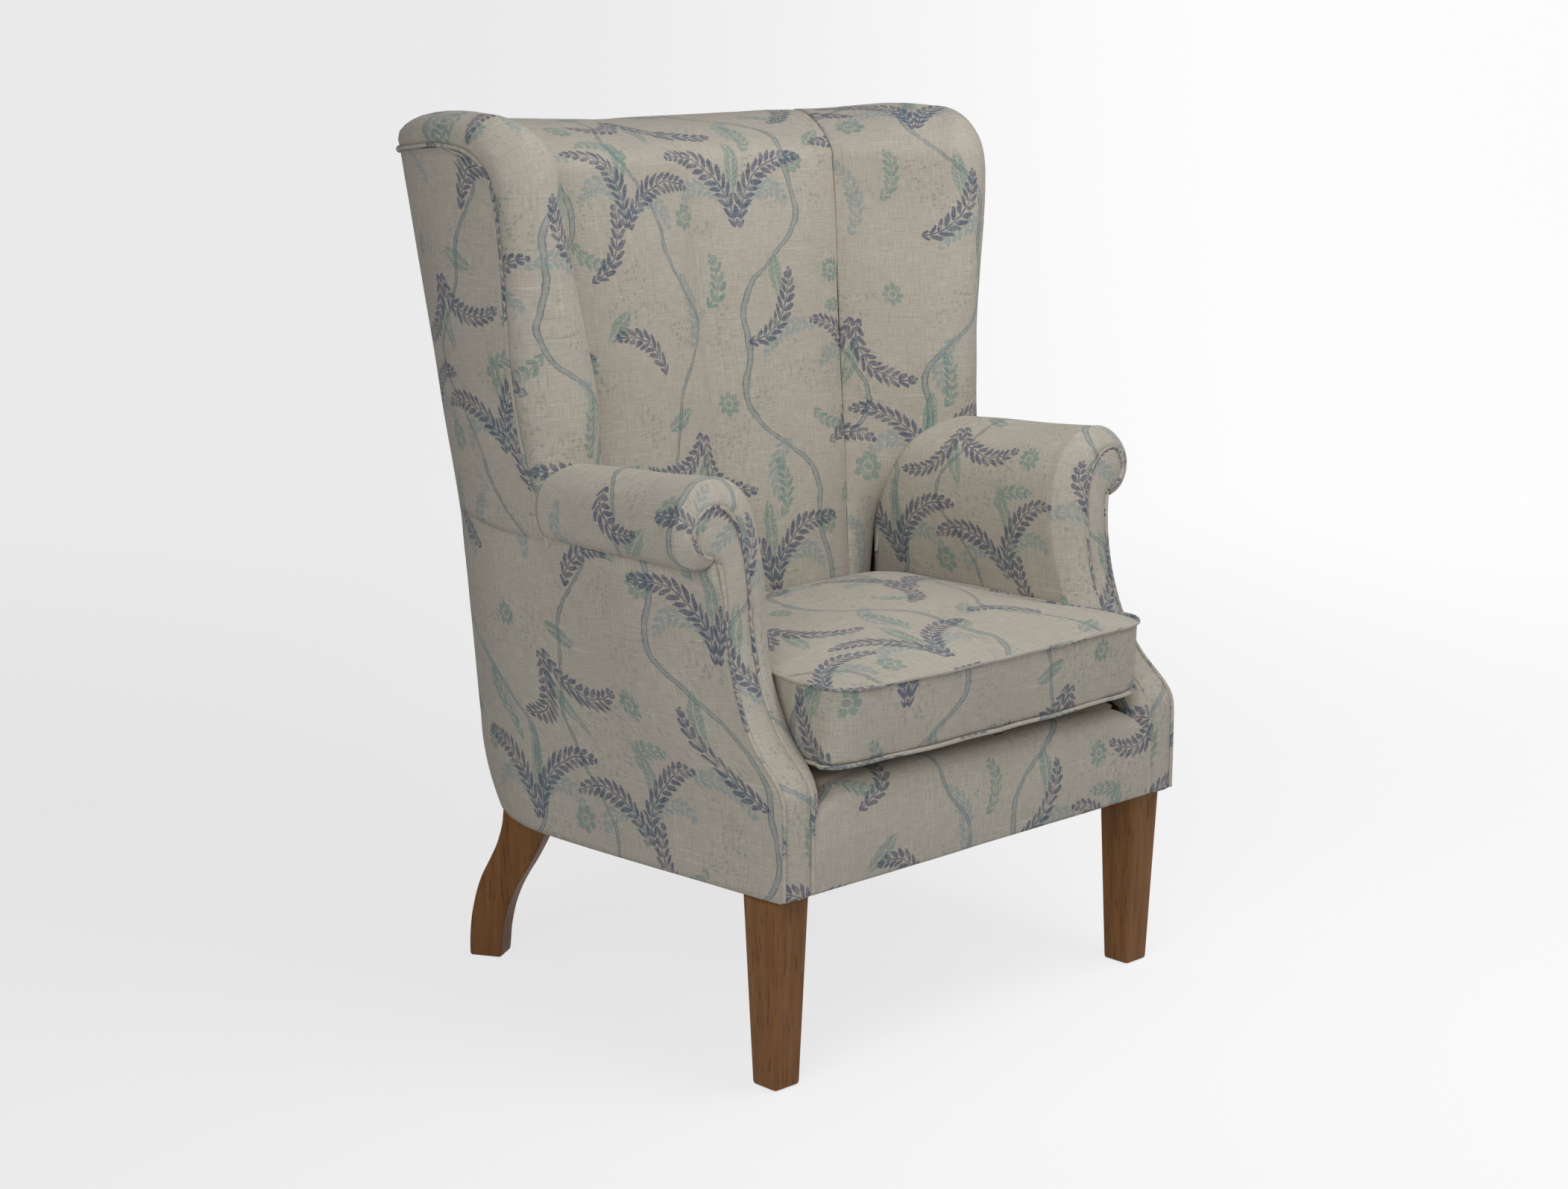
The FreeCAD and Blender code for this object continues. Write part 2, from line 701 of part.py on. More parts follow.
def rectangle(x0, x1, y0, y1, z):
    return outline(V(x0, y0, z), V(x1, y0, z), V(x1, y1, z), V(x0, y1, z))


facing_out_at = "dims.side_half - dims.side_taper - dims.facing_set"
arm_in_at = facing_out_at + " - dims.facing_wide - dims.arm_front_wide"
deck_start = "-dims.front_depth + dims.lip_thick + dims.fit_gap"
keep(
    block(
        "deck_block",
        "-(%s) + dims.fit_gap" % arm_in_at,
        deck_start,
        "dims.deck_height - dims.deck_thick",
        "2 * (%s - dims.fit_gap)" % arm_in_at,
        "dims.rear_rail_place + dims.front_depth - dims.lip_thick - 2 * dims.fit_gap",
        "dims.deck_thick",
    ),
    "seat_deck",
)


# Piping: it lies on the seams, touching both neighbours
cord = dim("piping_thick")
proud = cord / 2 + gap


def facing_piping():
    """Cords along the inner edge with its scroll, and along the outer edge."""
    scroll_end = dim("scroll_height") - dim("scroll_radius") - cord
    run = facing_run(proud, facing_in, base_bottom, dim("scroll_start"))
    curl = at_depth(facing_outline(0, base_bottom)[2:4], run[-1].y)
    centre = V(scroll_x, run[-1].y, dim("scroll_height"))
    turn = V(sine(20), 0, -cosine(20)) * dim("scroll_radius")
    half_turn = V(cosine(35), 0, -sine(35)) * dim("scroll_radius")
    inner = outline_open(*run, *curl, (centre + half_turn, centre + turn))
    outer = outline_open(*facing_run(proud, facing_out, base_bottom, scroll_end))
    return Part.Compound([tube(inner, cord), tube(outer, cord)])


def outline_open(start, *moves):
    """An open path: a point draws a line, a pair (through, end) draws an arc."""
    edges, here = [], start
    for move in moves:
        if isinstance(move, tuple):
            through, end = move
            edges.append(Part.Arc(here, through, end).toShape())
        else:
            end = move
            edges.append(Part.LineSegment(here, end).toShape())
        here = end
    return Part.Wire(edges)


def wing_piping():
    """Cord up the outer edge of the wing and back under its rolled top."""
    radius = dim("wing_edge_round")
    low, high = arm_seam + cord, cap_piping - proud
    lean = (half_width(high) - half_width(low)) / (high - low)
    up = V(lean, 0, 1).normalize()
    start = V(half_width(low) + proud, wing_edge_line(), low)
    top = V(half_width(high) + proud, wing_edge_line(), high)
    bend_start = top - up * radius
    bend_end = top + V(0, radius, 0)
    bend_centre = bend_start + V(0, radius, 0)
    through = bend_centre + (up - V(0, 1, 0)).normalize() * radius
    side = barrel_point(high, -proud, 0)
    middle = barrel_point(high, -proud, corner / 2)
    end = barrel_point(high, -proud, corner)
    path = outline_open(start, bend_start, (through, bend_end), side, (middle, end))
    return tube(path, cord)


def arm_seam_piping():
    """Cord between wing and arm: over the shoulder, then down towards the platform."""
    face = -dim("arm_rear") - proud
    shoulder = dim("arm_shoulder")
    radius = shoulder + proud
    hub = V(arm_in + shoulder, face, roll_centre.z + roll - shoulder)
    start = hub + V(roll_x - hub.x, 0, radius)
    side = hub + V(-radius, 0, 0)
    bend = dim("seam_bend")
    turn = dim("seam_turn")
    bend_centre = side + V(0, bend, 0)
    lower = bend_centre + V(0, -bend * cosine(turn), -bend * sine(turn))
    through = bend_centre + V(0, -bend * cosine(turn / 2), -bend * sine(turn / 2))
    back_centre = lower + V(0, -bend * cosine(turn), -bend * sine(turn))
    foot = back_centre + V(0, bend, 0)
    foot_through = back_centre + V(0, bend * cosine(turn / 2), bend * sine(turn / 2))
    path = outline_open(
        start,
        hub + V(0, 0, radius),
        (hub + V(-sine(45), 0, cosine(45)) * radius, side),
        (through, lower),
        (foot_through, foot),
        V(foot.x, foot.y, cushion_high + dim("seam_foot")),
    )
    return tube(path, cord)


pair("facing_piping", facing_piping())
pair("wing_piping", wing_piping())
pair("arm_seam_piping", arm_seam_piping())


# Loose seat cushion


def cushion_rear(z):
    """Rear of the cushion: it leans with the back."""
    return side_seam(z).y - dim("cushion_gap")


def cushion_outline(z, inset):
    """Plan of the cushion: bowed front, round corners, straight sides."""
    half = cushion_half - inset
    radius = dim("cushion_corner")
    edge = half - radius
    bow = (half ** 2 + dim("cushion_bow") ** 2) / (2 * dim("cushion_bow"))
    nose = V(0, front - dim("cushion_overhang") + inset, z)
    bow_centre = nose + V(0, bow, 0)
    depth = math.sqrt((bow - radius) ** 2 - edge ** 2)
    corner_centre = bow_centre + V(edge, -depth, 0)
    outward = (corner_centre - bow_centre).normalize()
    meet = bow_centre + outward * bow
    half_way = (outward + V(1, 0, 0)).normalize()
    rear = cushion_rear(z) - inset
    kink = radius * (1 - cosine(45))
    side = corner_centre + V(radius, 0, 0)
    front_turn = corner_centre + half_way * radius
    rear_turn = V(half - kink, rear - kink, z)
    return outline(
        mirror_point(meet),
        (nose, meet),
        (front_turn, side),
        V(half, rear - radius, z),
        (rear_turn, V(edge, rear, z)),
        V(-edge, rear, z),
        (mirror_point(rear_turn), V(-half, rear - radius, z)),
        mirror_point(side),
        (mirror_point(front_turn), mirror_point(meet)),
    )


CROWN_RISE = (0.42, 0.74, 0.93, 1.0)
CROWN_INSET = (0.08, 0.25, 0.56, 0.8)


def cushion_levels():
    """Heights and insets of the cushion from its underside to its crown."""
    middle = (cushion_low + cushion_high) / 2
    levels = [(cushion_bottom, dim("cushion_edge")), (cushion_low, 0.0)]
    levels += [(middle, dim("cushion_draw")), (cushion_high, 0.0)]
    depth = cushion_rear(cushion_high) - front + dim("cushion_overhang")
    reach = min(cushion_half, depth / 2) - dim("cushion_corner")
    for rise, share in zip(CROWN_RISE, CROWN_INSET):
        levels.append((cushion_high + rise * dim("cushion_crown"), share * reach))
    return levels


def cushion_form(shell):
    """The cushion's form, inside by the given shell all round."""
    sections = []
    for z, inset in cushion_levels():
        shift = -shell if z > cushion_high else shell if z < cushion_low else 0
        sections.append(cushion_outline(z + shift, inset + shell))
    return loft(sections)


cover = dim("cover_thick")
shaped("cushion_cover", cushion_form(0).cut(cushion_form(cover)))
shaped("cushion_core", cushion_form(cover + gap))


def cushion_cord(z):
    return tube(cushion_outline(z, -proud), cord)


shaped("cushion_piping", Part.Compound([cushion_cord(z) for z in (cushion_low, cushion_high)]))


def cushion_zip():
    """Zip along the middle of the cushion's rear border."""
    middle = (cushion_low + cushion_high) / 2
    half = dim("zip_width") / 2
    drawn = dim("cushion_draw") * (1 - half / (cushion_high - middle))
    strip = []
    for z, out in ((middle - half, 0), (middle + half, 0), (middle + half, 1), (middle - half, 1)):
        depth = gap / 2 + out * dim("zip_thick")
        strip.append(V(-dim("zip_half"), cushion_rear(z) - drawn + depth, z))
    return prism(outline(*strip), V(2 * dim("zip_half"), 0, 0))


shaped("cushion_zip", cushion_zip())


# Seat frame: rails on one level, corner blocks over the front legs
leg_place_x = facing_out_at + " - dims.leg_set_in"
leg_place_y = "-dims.front_depth + dims.leg_set_back"
block_in = "%s - dims.block_wide / 2" % leg_place_x
rail_rise = "dims.deck_height - dims.deck_thick - dims.spring_room - dims.base_bottom"
rail_start = "-dims.front_depth + dims.lip_thick + dims.fit_gap"
keep(
    block(
        "front_rail_block",
        "-(%s) + dims.fit_gap" % block_in,
        rail_start,
        "dims.base_bottom",
        "2 * (%s - dims.fit_gap)" % block_in,
        "dims.rail_thick",
        rail_rise,
    ),
    "front_rail",
)
corner_block = block(
    "corner_block_body",
    block_in,
    rail_start,
    "dims.base_bottom",
    "dims.block_wide",
    "dims.block_deep",
    rail_rise,
)
bolt_hole = bound(
    "Part::Cylinder",
    "bolt_hole",
    Radius="dims.bolt_thick / 2 + dims.fit_gap",
    Height="dims.bolt_in_leg + %s - dims.bolt_short + 2 * dims.fit_gap" % rail_rise,
)
place(
    bolt_hole,
    leg_place_x,
    leg_place_y,
    "dims.base_bottom - dims.bolt_in_leg - dims.fit_gap",
)
right_block = keep(cut("corner_block_cut", corner_block, bolt_hole), "corner_block_right")
keep(mirrored("corner_block_mirror", right_block), "corner_block_left")

barrel_start = rear_line(base_bottom) - barrel
rail_depth = panel + gap + dim("rail_inset")
block_end = front + dim("lip_thick") + dim("block_deep") + 2 * gap


def side_line(y):
    """Outside of the base at its bottom edge, between facing and barrel."""
    share = (y - front) / (barrel_start - front)
    return side_front + share * (half_width(base_bottom) - side_front)


def side_rail():
    """Side rail from the corner block to the bent rail."""
    near = side_line(block_end) - rail_depth
    far = half_width(base_bottom) - rail_depth
    thick = dim("rail_thick")
    section = outline(
        V(near - thick, block_end, base_bottom),
        V(near, block_end, base_bottom),
        V(far, barrel_start - gap, base_bottom),
        V(far - thick, barrel_start - gap, base_bottom),
    )
    return prism(section, V(0, 0, rail_height))


def half_ring(z, outer, inner, angle_out, angle_in):
    """Bent section round the back, from one side to the other."""
    def rim(inset, first):
        return [barrel_point(z, inset, a) for a in (first, (first + 90) / 2, 90)]

    out = rim(outer, angle_out)
    back = rim(inner, angle_in)
    return outline(
        out[0],
        (out[1], out[2]),
        mirror_point(out[2]),
        (mirror_point(out[1]), mirror_point(out[0])),
        mirror_point(back[0]),
        (mirror_point(back[1]), mirror_point(back[2])),
        back[2],
        (back[1], back[0]),
    )


leg_along = V(sine(dim("rear_foot_turn")), cosine(dim("rear_foot_turn")), 0)
leg_across = V(-leg_along.y, leg_along.x, 0)
rear_foot = V(dim("rear_foot_x"), dim("rear_foot_y"), 0)
rear_thick = dim("rear_leg_thick")
rear_head = rear_foot - leg_along * (dim("rear_leg_sweep") - dim("rear_leg_head") / 2)
rear_bolt = rear_head + leg_across * (rear_thick / 2)


def rear_bolt_room():
    """Hole for the bolt in the rear leg and the bent rail."""
    start = V(rear_bolt.x, rear_bolt.y, base_bottom - dim("bolt_in_leg") - gap)
    length = dim("bolt_in_leg") + bolt_in_rail + 2 * gap
    return Part.makeCylinder(dim("bolt_thick") / 2 + gap, length, start)


def bent_rail():
    """Bent rail under the rounded back, with the holes of the rear leg bolts."""
    inner = rail_depth + dim("back_rail_thick")
    ring = prism(half_ring(base_bottom, rail_depth, inner, 0, 0), V(0, 0, rail_height))
    hole = rear_bolt_room()
    return ring.cut(hole).cut(hole.mirror(V(0, 0, 0), V(1, 0, 0)))


def rear_rail():
    """Straight rail across the rear ends of the springs."""
    centre = barrel_point(base_bottom, barrel, 0)
    reach = barrel - rail_depth - dim("back_rail_thick")
    start = dim("rear_rail_place")
    end = start + dim("rear_rail_thick")
    half = centre.x + math.sqrt(reach ** 2 - (end - centre.y) ** 2) - gap
    return box(-half, half, start, end, base_bottom, rail_top)


pair("side_rail", side_rail())
shaped("bent_rail", bent_rail())
shaped("rear_rail", rear_rail())


# Uprights of the frame, arm rails and formers
stump_in = slab_back + gap


def arm_stump():
    """Shaped upright behind the facing; the arm rail rests on it."""
    near = behind_facing(-facing_thick - gap, 0, 0, cap_top)
    far = near.copy()
    far.translate(V(0, dim("stump_depth"), 0))
    room = box(stump_in, stump_in + dim("stump_thick"), front, 0, rail_top, arm_seam)
    return near.cut(far).common(room)


pair("arm_stump", arm_stump())
arm_rail_start = "-dims.front_depth + dims.facing_set_back + dims.facing_thick + dims.fit_gap"
right_rail = keep(
    block(
        "arm_rail_block",
        facing_out_at + " + dims.roll_set_out - dims.arm_rail_set - dims.arm_rail_wide",
        arm_rail_start,
        "dims.roll_height - dims.roll_radius",
        "dims.arm_rail_wide",
        "dims.wing_post_place - dims.fit_gap - (%s)" % arm_rail_start,
        "dims.arm_rail_high",
    ),
    "arm_rail_right",
)
keep(mirrored("arm_rail_mirror", right_rail), "arm_rail_left")

post_top = cap_bottom - gap - dim("top_rail_high")


def post_face(z):
    """Front of the back posts: behind the padding and the webbing."""
    return centre_seam(z) + dim("back_pad") + dim("web_thick") + 2 * gap


def back_post():
    """Leaning upright between the rear rail and the top rail."""
    half = dim("post_side") / 2
    x0, x1 = dim("post_place") - half, dim("post_place") + half
    section = outline(
        V(x0, post_face(rail_top), rail_top),
        V(x0, post_face(post_top), post_top),
        V(x0, post_face(post_top) + dim("post_side"), post_top),
        V(x0, post_face(rail_top) + dim("post_side"), rail_top),
    )
    return prism(section, V(x1 - x0, 0, 0))


def wing_post():
    """Upright that leans out with the wing."""
    start = dim("wing_post_place")
    end = start + dim("wing_post_deep")
    thick = dim("wing_post_thick")
    head = half_width(cap_bottom) - dim("wing_post_set")
    foot = rectangle(stump_in, stump_in + thick, start, end, rail_top)
    top = rectangle(head - thick, head, start, end, cap_bottom - gap)
    return loft([foot, top])


def top_rail():
    """Rail on the heads of the back posts."""
    start = post_face(cap_bottom)
    half = dim("top_rail_half")
    end = start + dim("post_side")
    return box(-half, half, start, end, post_top, cap_bottom - gap)


def back_former(height):
    """Bent plywood former that holds the round of the outside back."""
    outer = panel + gap
    inner = outer + dim("rib_wide")
    start = dim("wing_post_place") + dim("wing_post_deep") + gap
    sections = []
    for z in (height, height + dim("rib_thick")):
        depth = start - (rear_line(z) - barrel)
        angles = [math.degrees(math.asin(depth / (barrel - inset))) for inset in (outer, inner)]
        sections.append(half_ring(z, outer, inner, *angles))
    return loft(sections)


pair("back_post", back_post())
pair("wing_post", wing_post())
shaped("top_rail", top_rail())
for level in ("low", "mid", "high"):
    shaped("back_former_" + level, back_former(dim("rib_" + level)))


# Springs, clips and webbing
wire = dim("spring_wire")
spring_height = rail_top + gap + wire / 2
spring_start = front + dim("lip_thick") + dim("spring_inset")
spring_end = dim("rear_rail_place") + dim("spring_inset")
spring_pitch = (spring_end - spring_start) / (dim("spring_bars") - 1)
spring_lines = [
    (index - (int(dim("spring_count")) - 1) / 2) * dim("spring_gap")
    for index in range(int(dim("spring_count")))
]


def seat_spring(x):
    """Zigzag spring: straight bars across, joined by half turns."""
    radius = spring_pitch / 2
    side = 1
    here = V(x - dim("spring_swing"), spring_start, spring_height)
    edges = []
    for bar in range(int(dim("spring_bars"))):
        over = V(x + side * dim("spring_swing"), here.y, spring_height)
        edges.append(Part.LineSegment(here, over).toShape())
        if bar == int(dim("spring_bars")) - 1:
            break
        hub = over + V(0, radius, 0)
        crest = hub + V(side * radius, 0, 0)
        diagonal = V(side * cosine(45), sine(45), 0) * radius
        rising = V(side * cosine(45), -sine(45), 0) * radius
        edges.append(Part.Arc(over, hub + rising, crest).toShape())
        here = over + V(0, spring_pitch, 0)
        edges.append(Part.Arc(crest, hub + diagonal, here).toShape())
        side = -side
    return tube(Part.Wire(edges), wire)


def spring_clip(x, y):
    """Clip that holds the last bar of a spring on its rail."""
    wide, deep = dim("clip_wide"), dim("clip_deep")
    body = box(x - wide / 2, x + wide / 2, y - deep / 2, y + deep / 2, rail_top, rail_top + dim("clip_high"))
    start = V(x - wide, y, spring_height)
    return body.cut(Part.makeCylinder(wire / 2 + gap / 3, 2 * wide, start, V(1, 0, 0)))


shaped("seat_springs", Part.Compound([seat_spring(x) for x in spring_lines]))
clips = [spring_clip(x, y) for x in spring_lines for y in (spring_start, spring_end)]
shaped("spring_clips", Part.Compound(clips))


def back_strap(z):
    """Webbing strap stretched over the back posts."""
    half = dim("web_half")
    top = z + dim("web_width")
    near, far = dim("web_thick") + gap, gap
    section = outline(
        V(-half, post_face(z) - near, z),
        V(-half, post_face(top) - near, top),
        V(-half, post_face(top) - far, top),
        V(-half, post_face(z) - far, z),
    )
    return prism(section, V(2 * half, 0, 0))


straps = [
    back_strap(dim("web_low") + index * dim("web_step")) for index in range(int(dim("web_count")))
]
shaped("back_webbing", Part.Compound(straps))


# Legs, bolts, glides and dust cover
def leg_sketch(body, name, side, height):
    """Square section of the front leg at a height."""
    sketch = body.newObject("Sketcher::SketchObject", name)
    plane = [f for f in body.Origin.OriginFeatures if f.Role == "XY_Plane"][0]
    sketch.AttachmentSupport = [(plane, "")]
    sketch.MapMode = "FlatFace"
    sketch.setExpression("AttachmentOffset.Base.z", height)
    half = dim("leg_foot") / 2
    corners = [V(x * half, y * half, 0) for x, y in ((-1, -1), (1, -1), (1, 1), (-1, 1))]
    for index in range(4):
        sketch.addGeometry(Part.LineSegment(corners[index], corners[(index + 1) % 4]), False)
    for index in range(4):
        following = (index + 1) % 4
        sketch.addConstraint(Sketcher.Constraint("Coincident", index, 2, following, 1))
    for index in (0, 2):
        sketch.addConstraint(Sketcher.Constraint("Horizontal", index))
        sketch.addConstraint(Sketcher.Constraint("Vertical", index + 1))
    sketch.addConstraint(Sketcher.Constraint("Symmetric", 0, 1, 2, 1, -1, 1))
    for index, label in ((0, "wide"), (1, "deep")):
        number = sketch.addConstraint(Sketcher.Constraint("Distance", index, 2 * half))
        sketch.renameConstraint(number, label)
        sketch.setExpression("Constraints." + label, side)
    return sketch


leg_body = doc.addObject("PartDesign::Body", "front_leg_body")
foot_sketch = leg_sketch(leg_body, "leg_foot_sketch", "dims.leg_foot", "dims.glide_thick")
head_sketch = leg_sketch(leg_body, "leg_head_sketch", "dims.leg_head", "dims.base_bottom")
taper = leg_body.newObject("PartDesign::AdditiveLoft", "leg_taper")
taper.Profile = foot_sketch
taper.Sections = [head_sketch]
taper.Ruled = True
place(leg_body, leg_place_x, leg_place_y, "0")
right_leg = keep(cut("front_leg_cut", leg_body, bolt_hole), "front_leg_right")
keep(mirrored("front_leg_mirror", right_leg), "front_leg_left")


def rear_leg():
    """Swept rear leg: both edges curve back and then stand upright at the foot."""
    low = dim("glide_thick")
    middle = base_bottom / 2
    sweep = dim("rear_leg_sweep")
    wide_foot, wide_head = dim("rear_leg_foot"), dim("rear_leg_head")

    def point(s, z):
        return rear_foot + leg_along * s + V(0, 0, z)

    def edge(start, end):
        """Points of one edge: upright at the foot, leaning at mid height, steep at the head."""
        run = end - start
        waist = start + dim("rear_leg_waist") * run
        lower = (point(start + dim("rear_leg_knee") * run, middle / 2), point(waist, middle))
        ankle = base_bottom - middle / 2
        upper = (point(end - dim("rear_leg_hip") * run, ankle), point(end, base_bottom))
        return lower, upper

    front_low, front_high = edge(0, -sweep)
    back_low, back_high = edge(wide_foot, wide_head - sweep)
    profile = outline(
        point(0, low),
        front_low,
        front_high,
        point(wide_head - sweep, base_bottom),
        (back_high[0], back_low[1]),
        (back_low[0], point(wide_foot, low)),
    )
    return prism(profile, leg_across * rear_thick).cut(rear_bolt_room())


pair("rear_leg", rear_leg())

front_bolt = V(facing_out - dim("leg_set_in"), front + dim("leg_set_back"), 0)


def at_all_legs(make):
    """A small part at each of the four legs."""
    right = [make(front_bolt), make(rear_bolt)]
    left = [shape.mirror(V(0, 0, 0), V(1, 0, 0)) for shape in right]
    return Part.Compound(right + left)


def leg_bolt(at):
    start = V(at.x, at.y, base_bottom - dim("bolt_in_leg"))
    return Part.makeCylinder(dim("bolt_thick") / 2, dim("bolt_in_leg") + bolt_in_rail, start)


shaped("leg_bolts", at_all_legs(leg_bolt))
rear_glide = rear_foot + leg_along * (dim("rear_leg_foot") / 2) + leg_across * (rear_thick / 2)


def glide(at):
    return Part.makeCylinder(dim("glide_width") / 2, dim("glide_thick"), V(at.x, at.y, 0))


glides = [glide(front_bolt), glide(rear_glide)]
glides += [shape.mirror(V(0, 0, 0), V(1, 0, 0)) for shape in glides]
shaped("glides", Part.Compound(glides))


def dust_cover():
    """Cloth under the seat frame, open round the legs."""
    inset = panel + gap
    low = base_bottom - dim("dust_thick")
    near = front + facing_thick + gap
    rim = [barrel_point(base_bottom, inset, angle, low) for angle in (0, 45, 90)]
    lead = V(side_line(near) - inset, near, low)
    cloth = outline(
        lead,
        rim[0],
        (rim[1], rim[2]),
        mirror_point(rim[2]),
        (mirror_point(rim[1]), mirror_point(rim[0])),
        mirror_point(lead),
    )
    half = dim("leg_head") / 2 + 3 * gap
    x, y = front_bolt.x, front_bolt.y
    room = box(x - half, x + half, y - half, y + half, low - 1, base_bottom + 1)
    length = dim("rear_leg_head") + 2 * dim("dust_thick") + 3 * gap
    wide = rear_thick + 6 * gap
    corner_point = rear_head - leg_along * (length / 2) - leg_across * (3 * gap) + V(0, 0, low - 1)
    rear_room = prism(
        outline(
            corner_point,
            corner_point + leg_along * length,
            corner_point + leg_along * length + leg_across * wide,
            corner_point + leg_across * wide,
        ),
        V(0, 0, 3),
    )
    sheet_body = prism(cloth, V(0, 0, dim("dust_thick")))
    for tool in (room, rear_room):
        sheet_body = sheet_body.cut(tool).cut(tool.mirror(V(0, 0, 0), V(1, 0, 0)))
    return sheet_body


shaped("dust_cover", dust_cover())

# Nodes are exported once every object is sound
doc.recompute()
os.makedirs("parts", exist_ok=True)
for obj in doc.Objects:
    if "Invalid" in obj.State or "Error" in obj.State:
        raise RuntimeError("%s did not build: %s" % (obj.Label, obj.State))
for obj in nodes:
    if obj.Shape.isNull() or not obj.Shape.isValid():
        raise RuntimeError("%s has no valid shape" % obj.Label)
for obj in nodes:
    obj.Shape.exportStep("parts/%s.step" % obj.Label)
    print("%-22s %d solid(s) %10.0f mm3" % (obj.Label, len(obj.Shape.Solids), obj.Shape.Volume))
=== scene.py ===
# %% [markdown]
# # An upholstered wing armchair
# The chair comes from CAD as separate solids in metres: frame, legs, springs and plain pads.
# Here the pads get their real covers: stretched printed linen with soft rolls, valleys and
# piped seams. Every cover is a surface worked out with numpy on a grid of two parameters, so
# its shape can be read as a formula, and each one takes the place of the plain pad under it.

# %% Load the frame
import functools
import math
import bpy
import numpy as np
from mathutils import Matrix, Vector


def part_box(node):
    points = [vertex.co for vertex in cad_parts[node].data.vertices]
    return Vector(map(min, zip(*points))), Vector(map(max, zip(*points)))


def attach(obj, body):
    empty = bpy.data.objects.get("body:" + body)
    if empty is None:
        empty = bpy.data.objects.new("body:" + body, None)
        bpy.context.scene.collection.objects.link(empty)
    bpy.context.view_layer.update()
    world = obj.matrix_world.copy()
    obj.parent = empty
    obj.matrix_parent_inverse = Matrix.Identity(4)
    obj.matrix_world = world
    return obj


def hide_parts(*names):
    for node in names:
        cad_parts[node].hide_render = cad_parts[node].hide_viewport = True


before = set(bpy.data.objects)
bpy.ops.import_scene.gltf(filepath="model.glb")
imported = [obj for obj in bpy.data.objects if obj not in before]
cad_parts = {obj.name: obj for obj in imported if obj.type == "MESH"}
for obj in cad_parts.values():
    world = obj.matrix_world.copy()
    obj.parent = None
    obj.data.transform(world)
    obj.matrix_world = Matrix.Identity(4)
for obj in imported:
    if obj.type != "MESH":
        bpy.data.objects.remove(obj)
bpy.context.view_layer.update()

# %% [markdown]
# ## Tools for surfaces
# A cover is a grid of points. The first index runs one way over the cloth, the second the
# other way. Neighbouring points make four-sided faces, and a second pair of numbers at each
# point says where it lies on the flat cloth, in metres, so that a print keeps its true size.

# %% Grids, lengths and smooth curves
def smooth(knots, values, at):
    """Curve through the values: between two knots a cubic that has, at each knot, the slope
    of the line through the knots before and after it."""
    knots = np.asarray(knots, float)
    values = np.asarray(values, float)
    at = np.clip(at, knots[0], knots[-1])
    slope = np.gradient(values, knots, axis=0)
    low = np.clip(np.searchsorted(knots, at) - 1, 0, len(knots) - 2)
    span = knots[low + 1] - knots[low]
    t = (at - knots[low]) / span
    if values.ndim > 1:
        t, span = t[..., None], span[..., None]
    return ((1 + 2 * t) * (1 - t) ** 2 * values[low] + t * (1 - t) ** 2 * span * slope[low]
            + t * t * (3 - 2 * t) * values[low + 1] + t * t * (t - 1) * span * slope[low + 1])


def stack(x, y, z):
    """Three coordinates of any matching shapes as one array of points."""
    return np.stack(np.broadcast_arrays(x, y, z), -1).astype(float)


def along(points, axis):
    """Length run over the surface up to each point: the sum of the steps along one axis."""
    steps = np.linalg.norm(np.diff(points, axis=axis), axis=-1)
    start = np.zeros_like(np.take(steps, [0], axis))
    return np.concatenate([start, np.cumsum(steps, axis)], axis)


def even(path, count):
    """The same path with its points an equal length apart."""
    run = along(path, 0)
    places = np.linspace(0, run[-1], count)
    return np.stack([np.interp(places, run, path[:, k]) for k in range(3)], -1)


def quads(rows, columns, close=False):
    """Corner numbers of the faces of a grid: each point with its right, upper-right and upper
    neighbours. A closed grid also joins its last column to its first."""
    wide = columns if close else columns - 1
    i, j = np.meshgrid(np.arange(rows - 1), np.arange(wide), indexing="ij")
    nxt = (j + 1) % columns
    return np.stack([i * columns + j, i * columns + nxt, (i + 1) * columns + nxt,
                     (i + 1) * columns + j], -1).reshape(-1, 4)

# %% [markdown]
# A piece is one or more grids. Where grids share an edge their points are merged, so that the
# light runs over the join without a line. A mirrored piece has its faces turned round, because
# a mirror turns a surface inside out.

# %% Make a piece from grids
SIDES = ("right", "left")


def settled(thing):
    """The mesh as the object's modifiers leave it, put in place of the mesh it had."""
    bpy.context.view_layer.update()
    mesh = bpy.data.meshes.new_from_object(thing.evaluated_get(
        bpy.context.evaluated_depsgraph_get()))
    thing.modifiers.clear()
    thing.data = mesh
    mesh.polygons.foreach_set("use_smooth", np.ones(len(mesh.polygons), bool))
    return mesh


def coordinates(mesh):
    """All points of a mesh, one row each."""
    flat = np.empty(len(mesh.vertices) * 3)
    mesh.vertices.foreach_get("co", flat)
    return flat.reshape(-1, 3)


